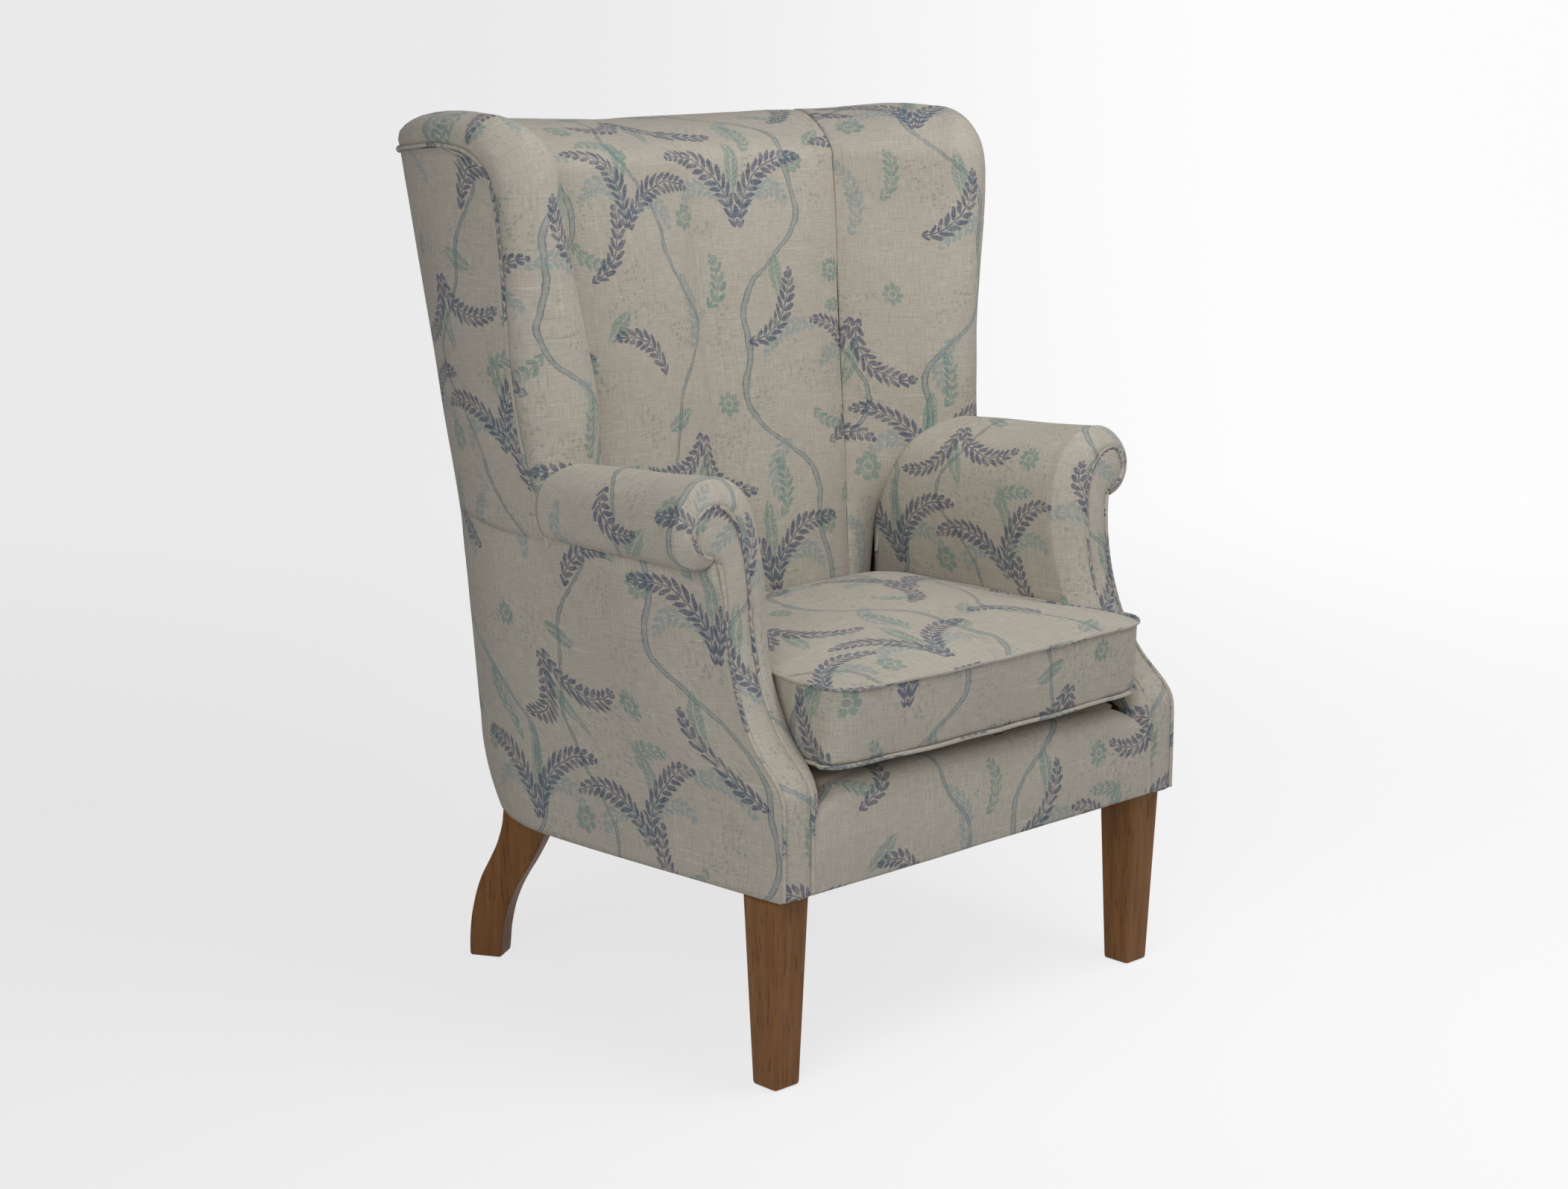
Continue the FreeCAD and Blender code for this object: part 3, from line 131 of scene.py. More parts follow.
def piece(name, grids, mirror=False, flip=False, wall=0.0, merge=0.0002, body="frame"):
    """Mesh of all the grids (points, cloth map, closed): faces wound one way, cloth map in
    metres, points nearer than the merge distance made one, wall thickness by Solidify."""
    verts, faces, maps, first = [], [], [], 0
    for points, cloth, close in grids:
        rows, columns = points.shape[:2]
        corner = quads(rows, columns, close)
        if mirror != flip:
            corner = corner[:, ::-1]
        verts.append(points.reshape(-1, 3) * ([-1, 1, 1] if mirror else [1, 1, 1]))
        maps.append(cloth.reshape(-1, 2)[corner.reshape(-1)])
        faces.append(corner + first)
        first += rows * columns
    mesh = bpy.data.meshes.new(name)
    mesh.from_pydata(np.concatenate(verts).tolist(), [], np.concatenate(faces).tolist())
    layer = mesh.uv_layers.new(name="cloth")
    layer.data.foreach_set("uv", np.concatenate(maps).astype(np.float32).reshape(-1))
    thing = bpy.data.objects.new(name, mesh)
    bpy.context.scene.collection.objects.link(thing)
    thing.modifiers.new("weld", "WELD").merge_threshold = merge
    if wall:
        shell = thing.modifiers.new("wall", "SOLIDIFY")
        shell.thickness, shell.offset = wall, -1.0
    print(name, len(settled(thing).polygons), "faces")
    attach(thing, body)
    return thing


def crowded(count):
    """Shares from 0 to 1 that lie closer together towards both ends."""
    return (1 - np.cos(np.linspace(0, np.pi, count))) / 2


def cubic(t, start, one, two, end):
    """Curve from the start to the end, drawn towards two handle points between them."""
    return ((1 - t) ** 3 * start + 3 * t * (1 - t) ** 2 * one + 3 * t * t * (1 - t) * two
            + t ** 3 * end)


def tube(path, radius, side=(0, 0, 1), count=10, close=False, turn=1.0):
    """Round cord: at each point of the path a ring of the radius, spanned by two directions
    square to the path. The cloth map is laid on the bias, at 45 degrees."""
    step = np.gradient(path, axis=0)
    if close:
        step = np.roll(path, -1, 0) - np.roll(path, 1, 0)
    step /= np.linalg.norm(step, axis=1, keepdims=True)
    one = np.cross(step, np.asarray(side, float))
    one /= np.linalg.norm(one, axis=1, keepdims=True)
    two = np.cross(one, step)
    angle = np.linspace(0, 2 * np.pi, count, endpoint=False)
    ring = np.cos(angle)[:, None] * one[:, None] - np.sin(angle)[:, None] * two[:, None]
    thick = np.broadcast_to(radius, len(path))
    points = path[:, None] + ring * thick[:, None, None]
    run = along(path, 0)[:, None]
    around = angle[None] * np.mean(thick)
    cloth = np.stack([run * .707 - around * .707, run * .707 + around * .707], -1) * turn
    if close:
        points = np.concatenate([points, points[:1]])
        cloth = np.concatenate([cloth, cloth[:1]])
    else:
        ends = np.broadcast_to(path[[0, -1], None], (2, count, 3))
        points = np.concatenate([ends[:1], points, ends[1:]])
        cloth = np.concatenate([cloth[:1], cloth, cloth[-1:]])
    return points, cloth, True

# %% [markdown]
# ## Shader tools
# A material's arithmetic reads as a sum here. One small class holds a socket, and adding or
# multiplying two of them adds the node that does it.

# %% Sockets as numbers
class Wire:
    """A socket of the material that is being made."""

    tree = None

    def __init__(self, socket):
        self.socket = socket

    @classmethod
    def node(cls, kind, settings=None, out=0, **values):
        """Any node: its settings are set first, then its sockets by name (spaces as _)."""
        made = cls.tree.nodes.new(kind)
        for key, value in (settings or {}).items():
            setattr(made, key, value)
        for key, value in values.items():
            name = int(key[1:]) if key[0] == "i" and key[1:].isdigit() else key.replace("_", " ")
            cls.join(made.inputs[name], value)
        return cls(made.outputs[out])

    @classmethod
    def join(cls, socket, value):
        """Link or set one input."""
        if isinstance(value, Wire):
            cls.tree.links.new(value.socket, socket)
        else:
            socket.default_value = value

    @classmethod
    def maths(cls, operation, *terms):
        places = {"i%d" % k: term for k, term in enumerate(terms)}
        return cls.node("ShaderNodeMath", {"operation": operation}, **places)

    def __add__(self, other): return Wire.maths("ADD", self, other)
    def __radd__(self, other): return Wire.maths("ADD", other, self)
    def __sub__(self, other): return Wire.maths("SUBTRACT", self, other)
    def __rsub__(self, other): return Wire.maths("SUBTRACT", other, self)
    def __mul__(self, other): return Wire.maths("MULTIPLY", self, other)
    def __rmul__(self, other): return Wire.maths("MULTIPLY", other, self)
    def __truediv__(self, other): return Wire.maths("DIVIDE", self, other)
    def __pow__(self, other): return Wire.maths("POWER", self, other)
    def __abs__(self): return Wire.maths("ABSOLUTE", self)
    def least(self, other): return Wire.maths("MINIMUM", self, other)
    def most(self, other): return Wire.maths("MAXIMUM", self, other)

    def ramp(self, low, high):
        """0 below low, 1 above high, smooth between."""
        return Wire.node("ShaderNodeMapRange", {"interpolation_type": "SMOOTHSTEP"},
                         i0=self, i1=low, i2=high)

    def wrap(self, size):
        """The value carried back by whole sizes to between minus and plus half a size."""
        return Wire.maths("WRAP", self, size / 2, -size / 2)


def paint(red, green, blue):
    """Screen colour (0 to 255) as the linear numbers that Blender uses."""
    whole = np.array([red, green, blue]) / 255
    return tuple(float(c) for c in np.where(whole <= .04045, whole / 12.92,
                                            ((whole + .055) / 1.055) ** 2.4))


def blend(share, one, two):
    """Two colours mixed by a share."""
    one, two = ((*c, 1.0) if isinstance(c, tuple) else c for c in (one, two))
    return Wire.node("ShaderNodeMix", {"data_type": "RGBA"}, 2, i0=share, i6=one, i7=two)


def start_material(name, roughness, **constants):
    """New material: returns it with its shader node, constants set on the shader itself."""
    material = bpy.data.materials.new(name)
    material.use_nodes = True
    Wire.tree = material.node_tree
    shader = material.node_tree.nodes["Principled BSDF"]
    shader.inputs["Roughness"].default_value = roughness
    for key, value in constants.items():
        shader.inputs[key.replace("_", " ")].default_value = value
    return material, shader


def noise(vector, scale, detail=2.0, out=0):
    """Noise texture: output 0 is its value, output 1 its colour."""
    return Wire.node("ShaderNodeTexNoise", None, out, Vector=vector, Scale=scale, Detail=detail)


def scaled(vector, x, y, z):
    """A vector with each part multiplied by its own number."""
    return Wire.node("ShaderNodeVectorMath", {"operation": "MULTIPLY"}, i0=vector, i1=(x, y, z))


def axes(vector):
    """The first two parts of a vector."""
    split = Wire.node("ShaderNodeSeparateXYZ", None, 0, Vector=vector)
    return split, Wire(split.socket.node.outputs[1])


def bump(shader, strength, distance, height):
    """Tilt the shader's normal by a height."""
    Wire.join(shader.inputs["Normal"], Wire.node(
        "ShaderNodeBump", None, 0, Strength=strength, Distance=distance, Height=height))

# %% [markdown]
# ## Printed linen
# The cover is a heavy natural linen. Its threads are uneven: thicker slubs run along and
# across. A plant print lies on it: long fronds, rosettes, single leaves, stems and faint
# speckled fans. The print is made from formulas on the cloth map: a frond is a bent line with
# slanted lens-shaped leaflets on both sides, repeated along it. The motifs repeat every
# few hundred millimetres with a half drop, as a screen print does. A slow noise shifts the
# coordinates so that no edge is ruler-straight, and the ink is thinner where threads stand up.

# %% Motifs of the print
REPEAT = (0.36, 0.44)       # width and height of the print's repeat
PITCH = 0.0112              # from one leaflet of a frond to the next
FULLNESS = 3.7              # how full a leaflet is
AHEAD = 3.0                 # added before a length is folded, so that it is never negative


def placed(u, v, x, y, turn):
    """Coordinates of a motif: carried back into the repeat, every second column half a repeat
    higher, then turned by its angle."""
    across = (u - x).wrap(REPEAT[0])
    odd = Wire.maths("PINGPONG", (u - x - across) * (1 / REPEAT[0]), 1.0)
    up = (v - y + odd * (REPEAT[1] / 2)).wrap(REPEAT[1])
    c, s = math.cos(math.radians(turn)), math.sin(math.radians(turn))
    return across * c + up * s, up * c - across * s


def frond(u, v, x, y, turn, length, width, radius, gap=None):
    """Leaflets repeated along a spine that is an arc of a circle: distance from the circle and
    length round it are the frond's own coordinates. A leaflet is a lens whose width is a times
    one minus a, where a is the distance from the spine as a share of the frond's half width.
    With a gap the frond has a twin, mirrored in its axis."""
    run, off = placed(u, v, x, y, turn)
    if gap is not None:
        off = abs(off) - gap
    centre = radius - off
    far = Wire.maths("SQRT", run * run + centre * centre)
    run = Wire.maths("ARCTAN2", run, centre) * radius
    off = radius - far
    body = run * (1.0 - run / length) * (4 / length)
    reach = body.most(0.02) ** 0.5 * width
    share = abs(off) / reach
    cell = Wire.maths("PINGPONG", run - abs(off) + AHEAD, PITCH / 2) * (2 / PITCH)
    lens = share * (1.0 - share) * FULLNESS
    leaflet = (lens - cell).ramp(0.0, 0.18) * share.ramp(0.06, 0.14)
    spine = abs(off).ramp(0.0012, 0.0006)
    return leaflet.most(spine) * body.ramp(0.0, 0.05) * share.ramp(1.0, 0.97)


def leaf(u, v, x, y, turn, length, width):
    """One leaf: a lens with its middle vein and side veins left open."""
    run, off = placed(u, v, x, y, turn)
    body = 1.0 - (run * (2 / length)) ** 2
    edge = (body * width - abs(off)).ramp(0.0, 0.0012)
    vein = abs(off).ramp(0.0005, 0.0013)
    side = Wire.maths("PINGPONG", run - abs(off) * 0.9 + AHEAD, 0.0035).ramp(0.0002, 0.0011)
    return edge * vein * (0.35 + side * 0.65)


def rosette(u, v, x, y, size, petals):
    """Round flower: its edge swings with the petals' number, a ring is left open round its
    heart, and fine gaps part the petals."""
    across, up = placed(u, v, x, y, 0)
    far = Wire.maths("SQRT", across * across + up * up)
    angle = Wire.maths("ARCTAN2", up, across)
    swing = abs(Wire.maths("COSINE", angle * (petals / 2)))
    edge = (swing ** 0.6 * (0.42 * size) + 0.58 * size - far).ramp(0.0, 0.0012)
    ring = abs(far - 0.34 * size).ramp(0.0006, 0.0014)
    gap = (swing * far).ramp(0.0005, 0.0013)
    return edge * ring * gap.most((0.3 * size - far).ramp(0, 0.001))


def stem(u, v, at, swing, phase, thick):
    """Meandering branch: a sum of two sine lines up the cloth, repeated across it. Returns its
    body and its darker outline."""
    wave = Wire.maths("SINE", v * (2 * math.pi / REPEAT[1]) + phase) * swing
    wave = wave + Wire.maths("SINE", v * (6 * math.pi / REPEAT[1]) + 2 * phase) * (swing / 4)
    off = abs((u - at - wave).wrap(REPEAT[0]))
    return off.ramp(thick + 0.0005, thick - 0.0005), abs(off - thick * 0.85).ramp(0.0011, 0.0004)

# %% The cloth's colours and threads
SLATE, MIST = paint(80, 88, 112), paint(126, 152, 156)
TEAL, DEEP, SAGE = paint(104, 152, 139), paint(74, 124, 119), paint(126, 142, 144)
LINEN, SLUB_DARK, SLUB_LIGHT = paint(188, 182, 169), paint(159, 152, 139), paint(217, 212, 199)

# Motifs of one repeat. A frond has its place, direction, length, half width and bend radius, and
# with a twin its gap. A leaf has its place, direction, length and half width, a rosette its place,
# radius and petals.
DARK_FRONDS = [
    (.060, .020, 88, .150, .0150, .085, .004), (.235, .245, 74, .140, .0145, .075, .004),
    (.330, .440, 256, .125, .0140, .060, .005), (.170, .190, 14, .110, .0130, .065),
    (.060, .320, 8, .125, .0135, .080), (.270, .075, 96, .100, .0130, .055)]
PALE_FRONDS = [
    (.060, .030, 88, .105, .0130, .038, .006), (.235, .255, 74, .100, .0125, .034, .006),
    (.165, .330, 150, .100, .0125, .060), (.330, .100, 62, .105, .0130, .070),
    (.110, .200, 200, .090, .0120, .050)]
GREEN_FRONDS = [
    (.080, .110, 52, .075, .0115, .060), (.250, .330, 118, .070, .0110, .050),
    (.150, .235, 300, .065, .0105, .050), (.010, .365, 40, .070, .0110, .045)]
ROSETTES = [(.155, .095, .0165, 9), (.340, .255, .0180, 7), (.022, .250, .0150, 8),
            (.205, .400, .0165, 10)]
LEAVES = [
    (.060, .095, 88, .085, .0105), (.235, .325, 74, .080, .0100), (.322, .385, 250, .075, .0100),
    (.205, .135, 40, .060, .0110), (.110, .400, 96, .065, .0105), (.290, .020, 22, .055, .0105)]


def slubs(cloth, across, length):
    """Thick places of the threads: one noise stretched along the cloth, one across it."""
    return (noise(scaled(cloth, across, length, 0), 1, 3),
            noise(scaled(cloth, length, across, 0), 1, 3))


def joined(motif, u, v, rows):
    """One kind of motif in all its places."""
    return functools.reduce(Wire.most, [motif(u, v, *row) for row in rows])


def linen(name):
    """Linen with slubs both ways, then the print, from the faint fans to the dark fronds."""
    material, shader = start_material(name, 0.9, Sheen_Weight=0.10, Sheen_Roughness=0.5,
                                      Specular_IOR_Level=0.2)
    cloth = Wire.node("ShaderNodeUVMap", {"uv_map": "cloth"})
    lengthways, crossways = slubs(cloth, 1150, 55)
    threads = lengthways * 0.5 + crossways * 0.5
    rosy, greenish = slubs(cloth, 520, 18)
    cloudy = noise(cloth, 7, 2)
    long_one, long_two = slubs(cloth, 380, 9)
    colour = blend(threads.ramp(0.36, 0.64), SLUB_DARK, SLUB_LIGHT)
    for share, tint in (
            (0.50, LINEN),
            (rosy.ramp(0.52, 0.70) * 0.42, paint(195, 170, 164)),
            (greenish.ramp(0.53, 0.72) * 0.30, paint(163, 172, 158)),
            (long_one.most(long_two).ramp(0.60, 0.76) * 0.50, SLUB_LIGHT),
            (long_one.least(long_two).ramp(0.40, 0.27) * 0.42, SLUB_DARK),
            (cloudy.ramp(0.35, 0.70) * 0.22, paint(175, 164, 154))):
        colour = blend(share, colour, tint)
    warp = noise(cloth, 30, 2, out=1)
    shift = Wire.node("ShaderNodeVectorMath", {"operation": "SUBTRACT"}, i0=warp, i1=(.5, .5, .5))
    drawn = Wire.node("ShaderNodeVectorMath", {"operation": "ADD"}, i0=cloth,
                      i1=scaled(shift, 0.012, 0.012, 0))
    u, v = axes(drawn)
    worn = noise(cloth, 55, 3).ramp(0.22, 0.52)
    ink = (0.62 + threads.ramp(0.60, 0.40) * 0.38) * (0.45 + worn * 0.55)
    greens = (joined(rosette, u, v, ROSETTES).most(joined(leaf, u, v, LEAVES))
              .most(joined(frond, u, v, GREEN_FRONDS)))
    thick_stem, thick_line = stem(u, v, .10, .055, 0.4, .0042)
    thin_stem, thin_line = stem(u, v, .29, .045, 2.9, .0026)
    dots = Wire.node("ShaderNodeTexVoronoi", None, 0, Vector=drawn, Scale=150.0)
    fans = noise(cloth, 12, 1).ramp(0.53, 0.60) * dots.ramp(0.42, 0.26)
    for mask, strength, tint in (
            (fans, 0.46, paint(126, 138, 124)),
            (thick_stem.most(thin_stem), 0.62, SAGE),
            (thick_line.most(thin_line), 0.75, paint(94, 112, 118)),
            (joined(frond, u, v, PALE_FRONDS), 0.62, MIST),
            (greens, 0.66, blend(noise(cloth, 80, 1), DEEP, TEAL)),
            (joined(frond, u, v, DARK_FRONDS), 0.92, SLATE)):
        colour = blend(mask * ink * strength, colour, tint)
    Wire.join(shader.inputs["Base Color"], colour)
    bump(shader, 0.30, 0.0005, threads)
    return material


printed_linen = linen("printed_linen")
print("printed linen nodes", len(printed_linen.node_tree.nodes))

# %% [markdown]
# ## Woods, metal, cloths of the inside
# The legs are stained oak: a brown with darker long pores that run up the leg. The hidden
# frame is pale beech. Pores and rings are noises stretched along the grain, read from object
# coordinates, so that the grain keeps its place on the wood.

# %% Wood finishes
def wood(name, light, dark, pore, grain, roughness, coat=0.0):
    """Noise stretched along the grain for the rings, a finer one for the pores."""
    material, shader = start_material(name, roughness, Coat_Roughness=0.25, Coat_Weight=coat,
                                      Specular_IOR_Level=0.25)
    place = Wire.node("ShaderNodeTexCoord", None, 3)
    rings = noise(scaled(place, *grain), 1, 4)
    pores = noise(scaled(place, *[k * 4 for k in grain]), 1, 2)
    patches = noise(place, 9, 2)
    colour = blend(rings.ramp(0.32, 0.68), dark, light)
    colour = blend(patches.ramp(0.35, 0.7) * 0.35, colour, dark)
    colour = blend(pores.ramp(0.57, 0.66) * 0.65, colour, pore)
    Wire.join(shader.inputs["Base Color"], colour)
    Wire.join(shader.inputs["Roughness"], pores.ramp(0.5, 0.7) * 0.15 + roughness)
    bump(shader, 0.25, 0.0004, rings - pores * 0.6)
    return material


stained_oak = wood("stained_oak", paint(142, 98, 53), paint(122, 81, 43), paint(84, 53, 27),
                   (120, 120, 8), 0.52, 0.02)
beech = wood("beech", paint(214, 186, 148), paint(196, 163, 122), paint(168, 130, 92),
             (60, 12, 12), 0.6)
plywood = wood("birch_plywood", paint(205, 182, 146), paint(178, 148, 108), paint(140, 108, 72),
               (9, 40, 420), 0.65)

# %% Steel, webbing, plain cloths, nylon
def plain_finish(name, one, two, scale, roughness, **constants):
    """Two close colours mixed by a noise whose scale differs by direction, with its bump."""
    material, shader = start_material(name, roughness, **constants)
    place = Wire.node("ShaderNodeTexCoord", None, 3)
    grains = noise(scaled(place, *scale), 1, 3)
    Wire.join(shader.inputs["Base Color"], blend(grains.ramp(0.35, 0.65), one, two))
    Wire.join(shader.inputs["Roughness"], grains * 0.2 + (roughness - 0.1))
    bump(shader, 0.3, 0.0003, grains)
    return material


steel = plain_finish("drawn_steel", paint(150, 150, 152), paint(178, 178, 180),
                     (60, 900, 900), 0.35, Metallic=1.0)
webbing = plain_finish("jute_webbing", paint(150, 122, 86), paint(178, 150, 110),
                       (40, 300, 900), 0.9)
deck_cloth = plain_finish("deck_cloth", paint(172, 163, 148), paint(186, 178, 163),
                          (900, 500, 300), 0.92)
dust_cloth = plain_finish("dust_cloth", paint(32, 32, 33), paint(46, 46, 47),
                          (700, 700, 90), 0.95)
nylon = plain_finish("nylon", paint(52, 49, 46), paint(66, 62, 58), (120, 120, 120), 0.55)
zip_tape = plain_finish("zip_tape", paint(150, 143, 130), paint(170, 162, 148),
                        (900, 300, 600), 0.85)
print("finishes", len(bpy.data.materials))

# %% Dress the CAD nodes that keep their solids
def dress(prefixes, finish):
    """Give a finish to every node whose name starts with one of the prefixes."""
    for name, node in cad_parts.items():
        if name.startswith(prefixes) and node.type == "MESH":
            node.data.materials.clear()
            node.data.materials.append(finish)


dress(("back_former",), plywood)
dress(("seat_springs", "spring_clips", "leg_bolts"), steel)
dress(("back_webbing",), webbing)
dress(("glides",), nylon)
dress(("cushion_zip",), zip_tape)
dress(("arm_rail", "arm_stump", "back_post", "bent_rail", "corner_block", "front_rail",
       "rear_rail", "side_rail", "top_rail", "wing_post"), beech)

# %% Dress the pieces of the scene
def declare(thing, nodes, fill=None, material=printed_linen, slot="printed_linen"):
    """Material of a piece, and the CAD nodes it stands for, which are hidden. The slot and the
    pad's fill are not used.
    """
    thing.data.materials.append(material)
    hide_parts(*nodes)


def pair_of(name, node, grids, fill=None, material=printed_linen, slot="printed_linen",
            **shape):
    """One piece on each side, the left one mirrored. The grids are a function of the side."""
    for side in SIDES:
        thing = piece(name + side, grids(side), mirror=side == "left", **shape)
        declare(thing, [node + side], fill, material, slot)


# %% [markdown]
# ## The chair's outer form
# In plan the chair is a horseshoe: sides that run back nearly straight, then a wide round
# corner into the back. The sides widen above the arms, the back leans. These three formulas
# give the outer form at any height, and every outside cover is cut from them.

# %% Outer form
HEM, ARM_SEAM, CAP = 0.2206, 0.557, 0.955
RIM = 0.9815                # height of the piping behind
BARREL = 0.25               # radius of the round rear corner
FRONT = 0.350               # depth of the base ahead of the origin
TUCK = 0.320                # below this height the hem is drawn in
REAR_LEAN = math.tan(math.radians(6.9))


def tuck(z):
    """How far the cloth is drawn in: growing with the square of the depth below the tuck."""
    return np.clip((TUCK - z) / 0.0985, 0, 2) ** 2


def half_width(z):
    """Half the outside width: constant, drawn in at the hem, growing evenly above the arm."""
    return 0.350 - 0.005 * tuck(z) + 0.034 * np.clip((z - ARM_SEAM) / (CAP - ARM_SEAM), 0, 2)


def rear_line(z):
    """Depth of the outside back: leaning by 6.9 degrees, drawn in at the hem."""
    return 0.295 - 0.025 * tuck(z) + np.clip(z - TUCK, 0, 2) * REAR_LEAN


def barrel(z, turn):
    """Point of the round rear corner: a circle of the barrel radius, from the side (0) to the
    middle of the back (90 degrees)."""
    x = half_width(z) - BARREL + BARREL * np.cos(turn)
    y = rear_line(z) - BARREL + BARREL * np.sin(turn)
    return stack(x, y, z)


def side_x(y, z):
    """Half width at a depth: the side's taper to the front, then the round corner."""
    back, wide = rear_line(z) - BARREL, half_width(z)
    ahead = np.clip((back - y) / (back + FRONT), 0, 1)
    into = np.clip(y - back, 0, BARREL)
    circle = wide - BARREL + np.sqrt(np.clip(BARREL ** 2 - into ** 2, 0, 1))
    return np.where(y < back, wide - 0.024 * ahead ** 1.5, circle)


def run_of(across, up):
    """Length run along a line in a plane, up to each of its points."""
    return np.concatenate([[0], np.cumsum(np.hypot(np.diff(across), np.diff(up)))])


CORNER_SEAM = math.radians(38)

# %% [markdown]
# The front of the arm is one line seen from the side: upright at the hem, over a knee, back in
# a hollow and up to the scroll. The facing, its piping, the arm pad and the outside arm all
# start from it.

# %% Front line of the arm
FRONT_Z = [HEM, .300, .320, .332, .342, .352, .362, .372, .385, .400, .430, .460, .500, .540,
           .575, .660]
FRONT_Y = [-.3468, -.3470, -.3466, -.3450, -.3400, -.3310, -.3195, -.3080, -.2955, -.2849,
           -.2688, -.2579, -.2493, -.2450, -.2420, -.2415]


def arm_front(z):
    """Depth of the arm's front line at a height."""
    return smooth(FRONT_Z, FRONT_Y, np.asarray(z, float))


FACING_Z = [HEM, .300, .340, .360, .380, .400, .430, .460, .500, .540, .558, .575]
FACING_OUT = [.3212, .3207, .3205, .3198, .3182, .3168, .3142, .3126, .3110, .3112, .3134, .3172]
FACING_IN = [.2790, .2790, .2790, .2786, .2784, .2784, .2780, .2770, .2763, .2755, .2762, .2780]


def facing_out(z):
    """Half width of the facing's outer edge."""
    return smooth(FACING_Z, FACING_OUT, np.clip(z, HEM, .575))


print("arm front at seat height", round(float(arm_front(0.44)), 4))

# %% [markdown]
# ## Inside back and wings
# One cover of cloth runs from the piping on one wing's outer edge, over the padded nose, along
# the inside of the wing, into the valley at the back and over two wide flutes. On the real
# chair it is three cut pieces, sewn in the valleys. It rolls over the top to the outside, so I
# make two kinds of grid: an upright one for the inside faces, and a roll that is swept along
# the outer edge, up the front of the wing and then back along its top.

# %% Guide lines of the cover
DECK = 0.3447               # height at which the seams of the inside covers start
NOSE_Z = [.345, .450, .505, .533, .557, .590, .620, .650, .700, .750, .800, .850, .900, .930,
          .955]
NOSE_X = [.240, .240, .240, .240, .241, .246, .252, .2565, .2615, .2690, .2793, .2910, .3015,
          .3058, .3079]
NOSE_Y = [.086, .080, .071, .060, .048, .036, .028, .022, .0170, .0175, .0195, .0200, .0185,
          .0185, .0200]


def nose_inner(z):
    """Where the rounded front edge of the wing turns into its inside face."""
    return stack(smooth(NOSE_Z, NOSE_X, z), smooth(NOSE_Z, NOSE_Y, z), z)


def centre_seam(z):
    """Middle seam: a line that leans back by 8.8 degrees."""
    return stack(0.0, 0.065 + (z - DECK) * math.tan(math.radians(8.8)), z)


def side_seam(z):
    """Seam in the valley between back and wing: it runs outwards as it rises."""
    share = (z - DECK) / (CAP - DECK)
    return stack(0.174 + share * 0.054, centre_seam(z)[..., 1] - 0.019, z)


def ripple(a, b, size=0.0008):
    """A calm unevenness of stretched cloth: three long waves that cross each other."""
    return size * (np.sin(a * 31 + b * 17 + 1.3) + 0.7 * np.sin(a * 13 - b * 41 + 0.4)
                   + 0.5 * np.sin(a * 67 + b * 23 + 2.1))


NOSE_TURN = np.array([-0.55, 0.835, 0.0])   # way in which the cloth leaves the nose


def wing_face(z, q):
    """Inside face of the wing at a height, q from the nose (0) to the valley seam (1): a cubic
    curve that leaves the round nose along its tangent and dips a little into the seam."""
    start, end = nose_inner(z), side_seam(z)
    chord = end - start
    length = np.linalg.norm(chord[..., :2], axis=-1, keepdims=True)
    out = np.concatenate([-chord[..., 1:2], chord[..., :1], 0 * length], -1) / length
    lead = np.clip((z - 0.56) / 0.08, 0, 1)[..., None]
    one = start + NOSE_TURN * length * 0.36 * lead + chord * 0.33 * (1 - lead) + out * 0.002
    two = end - chord * 0.30 + out * 0.0075
    return cubic(q[..., None], start, one, two, end)


def flute(z, q):
    """One flute at a height, q from the valley seam (0) to the middle seam (1): the chord
    pushed forward by a swell that is flat in the middle and steep at the seams."""
    start, end = side_seam(z), centre_seam(z)
    chord = end - start
    swell = 0.0130 * (1 - np.abs(2 * q - 1) ** 2.3)
    line = start + chord * q[..., None]
    return line + stack(0.0, -swell + ripple(line[..., 0], line[..., 2]), 0.0)

# %% The edge that the roll follows
EDGE_Y = [.002, .014, .029, .037, .0415, .0410, .0400, .0415, .0450, .0530, .0690, .0900, .1130,
          .139, .187]
EDGE_Z = [.557, .600, .650, .700, .750, .810, .874, .921, .946, .9655, .9805, .9895, .9930,
          .9940, .9900]
edge_run = run_of(EDGE_Y, EDGE_Z)


def edge_point(run):
    """Piping line of the wing in side view, by the length run along it."""
    y, z = smooth(edge_run, EDGE_Y, run), smooth(edge_run, EDGE_Z, run)
    return stack(side_x(y, z), y, z)


front_rows, corner_rows, top_rows, back_rows = 56, 15, 24, 40
corner_start, corner_end = edge_run[8], edge_run[12]
edge_front = edge_point(np.linspace(0, corner_start, front_rows))
edge_corner = edge_point(np.linspace(corner_start, corner_end, corner_rows))
turn_start = math.asin((EDGE_Y[-1] - (rear_line(0.99) - BARREL)) / BARREL)
seam_turn = math.radians(47)
rim_turn = np.linspace(turn_start, seam_turn, 12)
rim_z = smooth([turn_start, CORNER_SEAM, math.radians(90)], [.990, .982, RIM], rim_turn)
edge_top = even(np.concatenate([edge_point(np.linspace(corner_end, edge_run[-1], 12)),
                                barrel(rim_z, rim_turn)[1:]]), top_rows)
back_z = np.full(20, RIM)
back_z[0] = edge_top[-1, 2]
rear_x = np.linspace(barrel(RIM, math.pi / 2)[0], 0, 12)[1:]
edge_back = even(np.concatenate([barrel(back_z, np.linspace(seam_turn, math.pi / 2, 20)),
                                 stack(rear_x, rear_line(RIM), RIM)]), back_rows)
print("rim seam at", edge_top[-1].round(3), "rim middle", edge_back[-1].round(3))

# %% [markdown]
# The roll's cross-section is one cubic curve: it leaves the piping at right angles to the
# edge, bulges over and comes down on the inside face. At the wing's top front
# corner all cross-sections share one inner point, like the sticks of a fan.

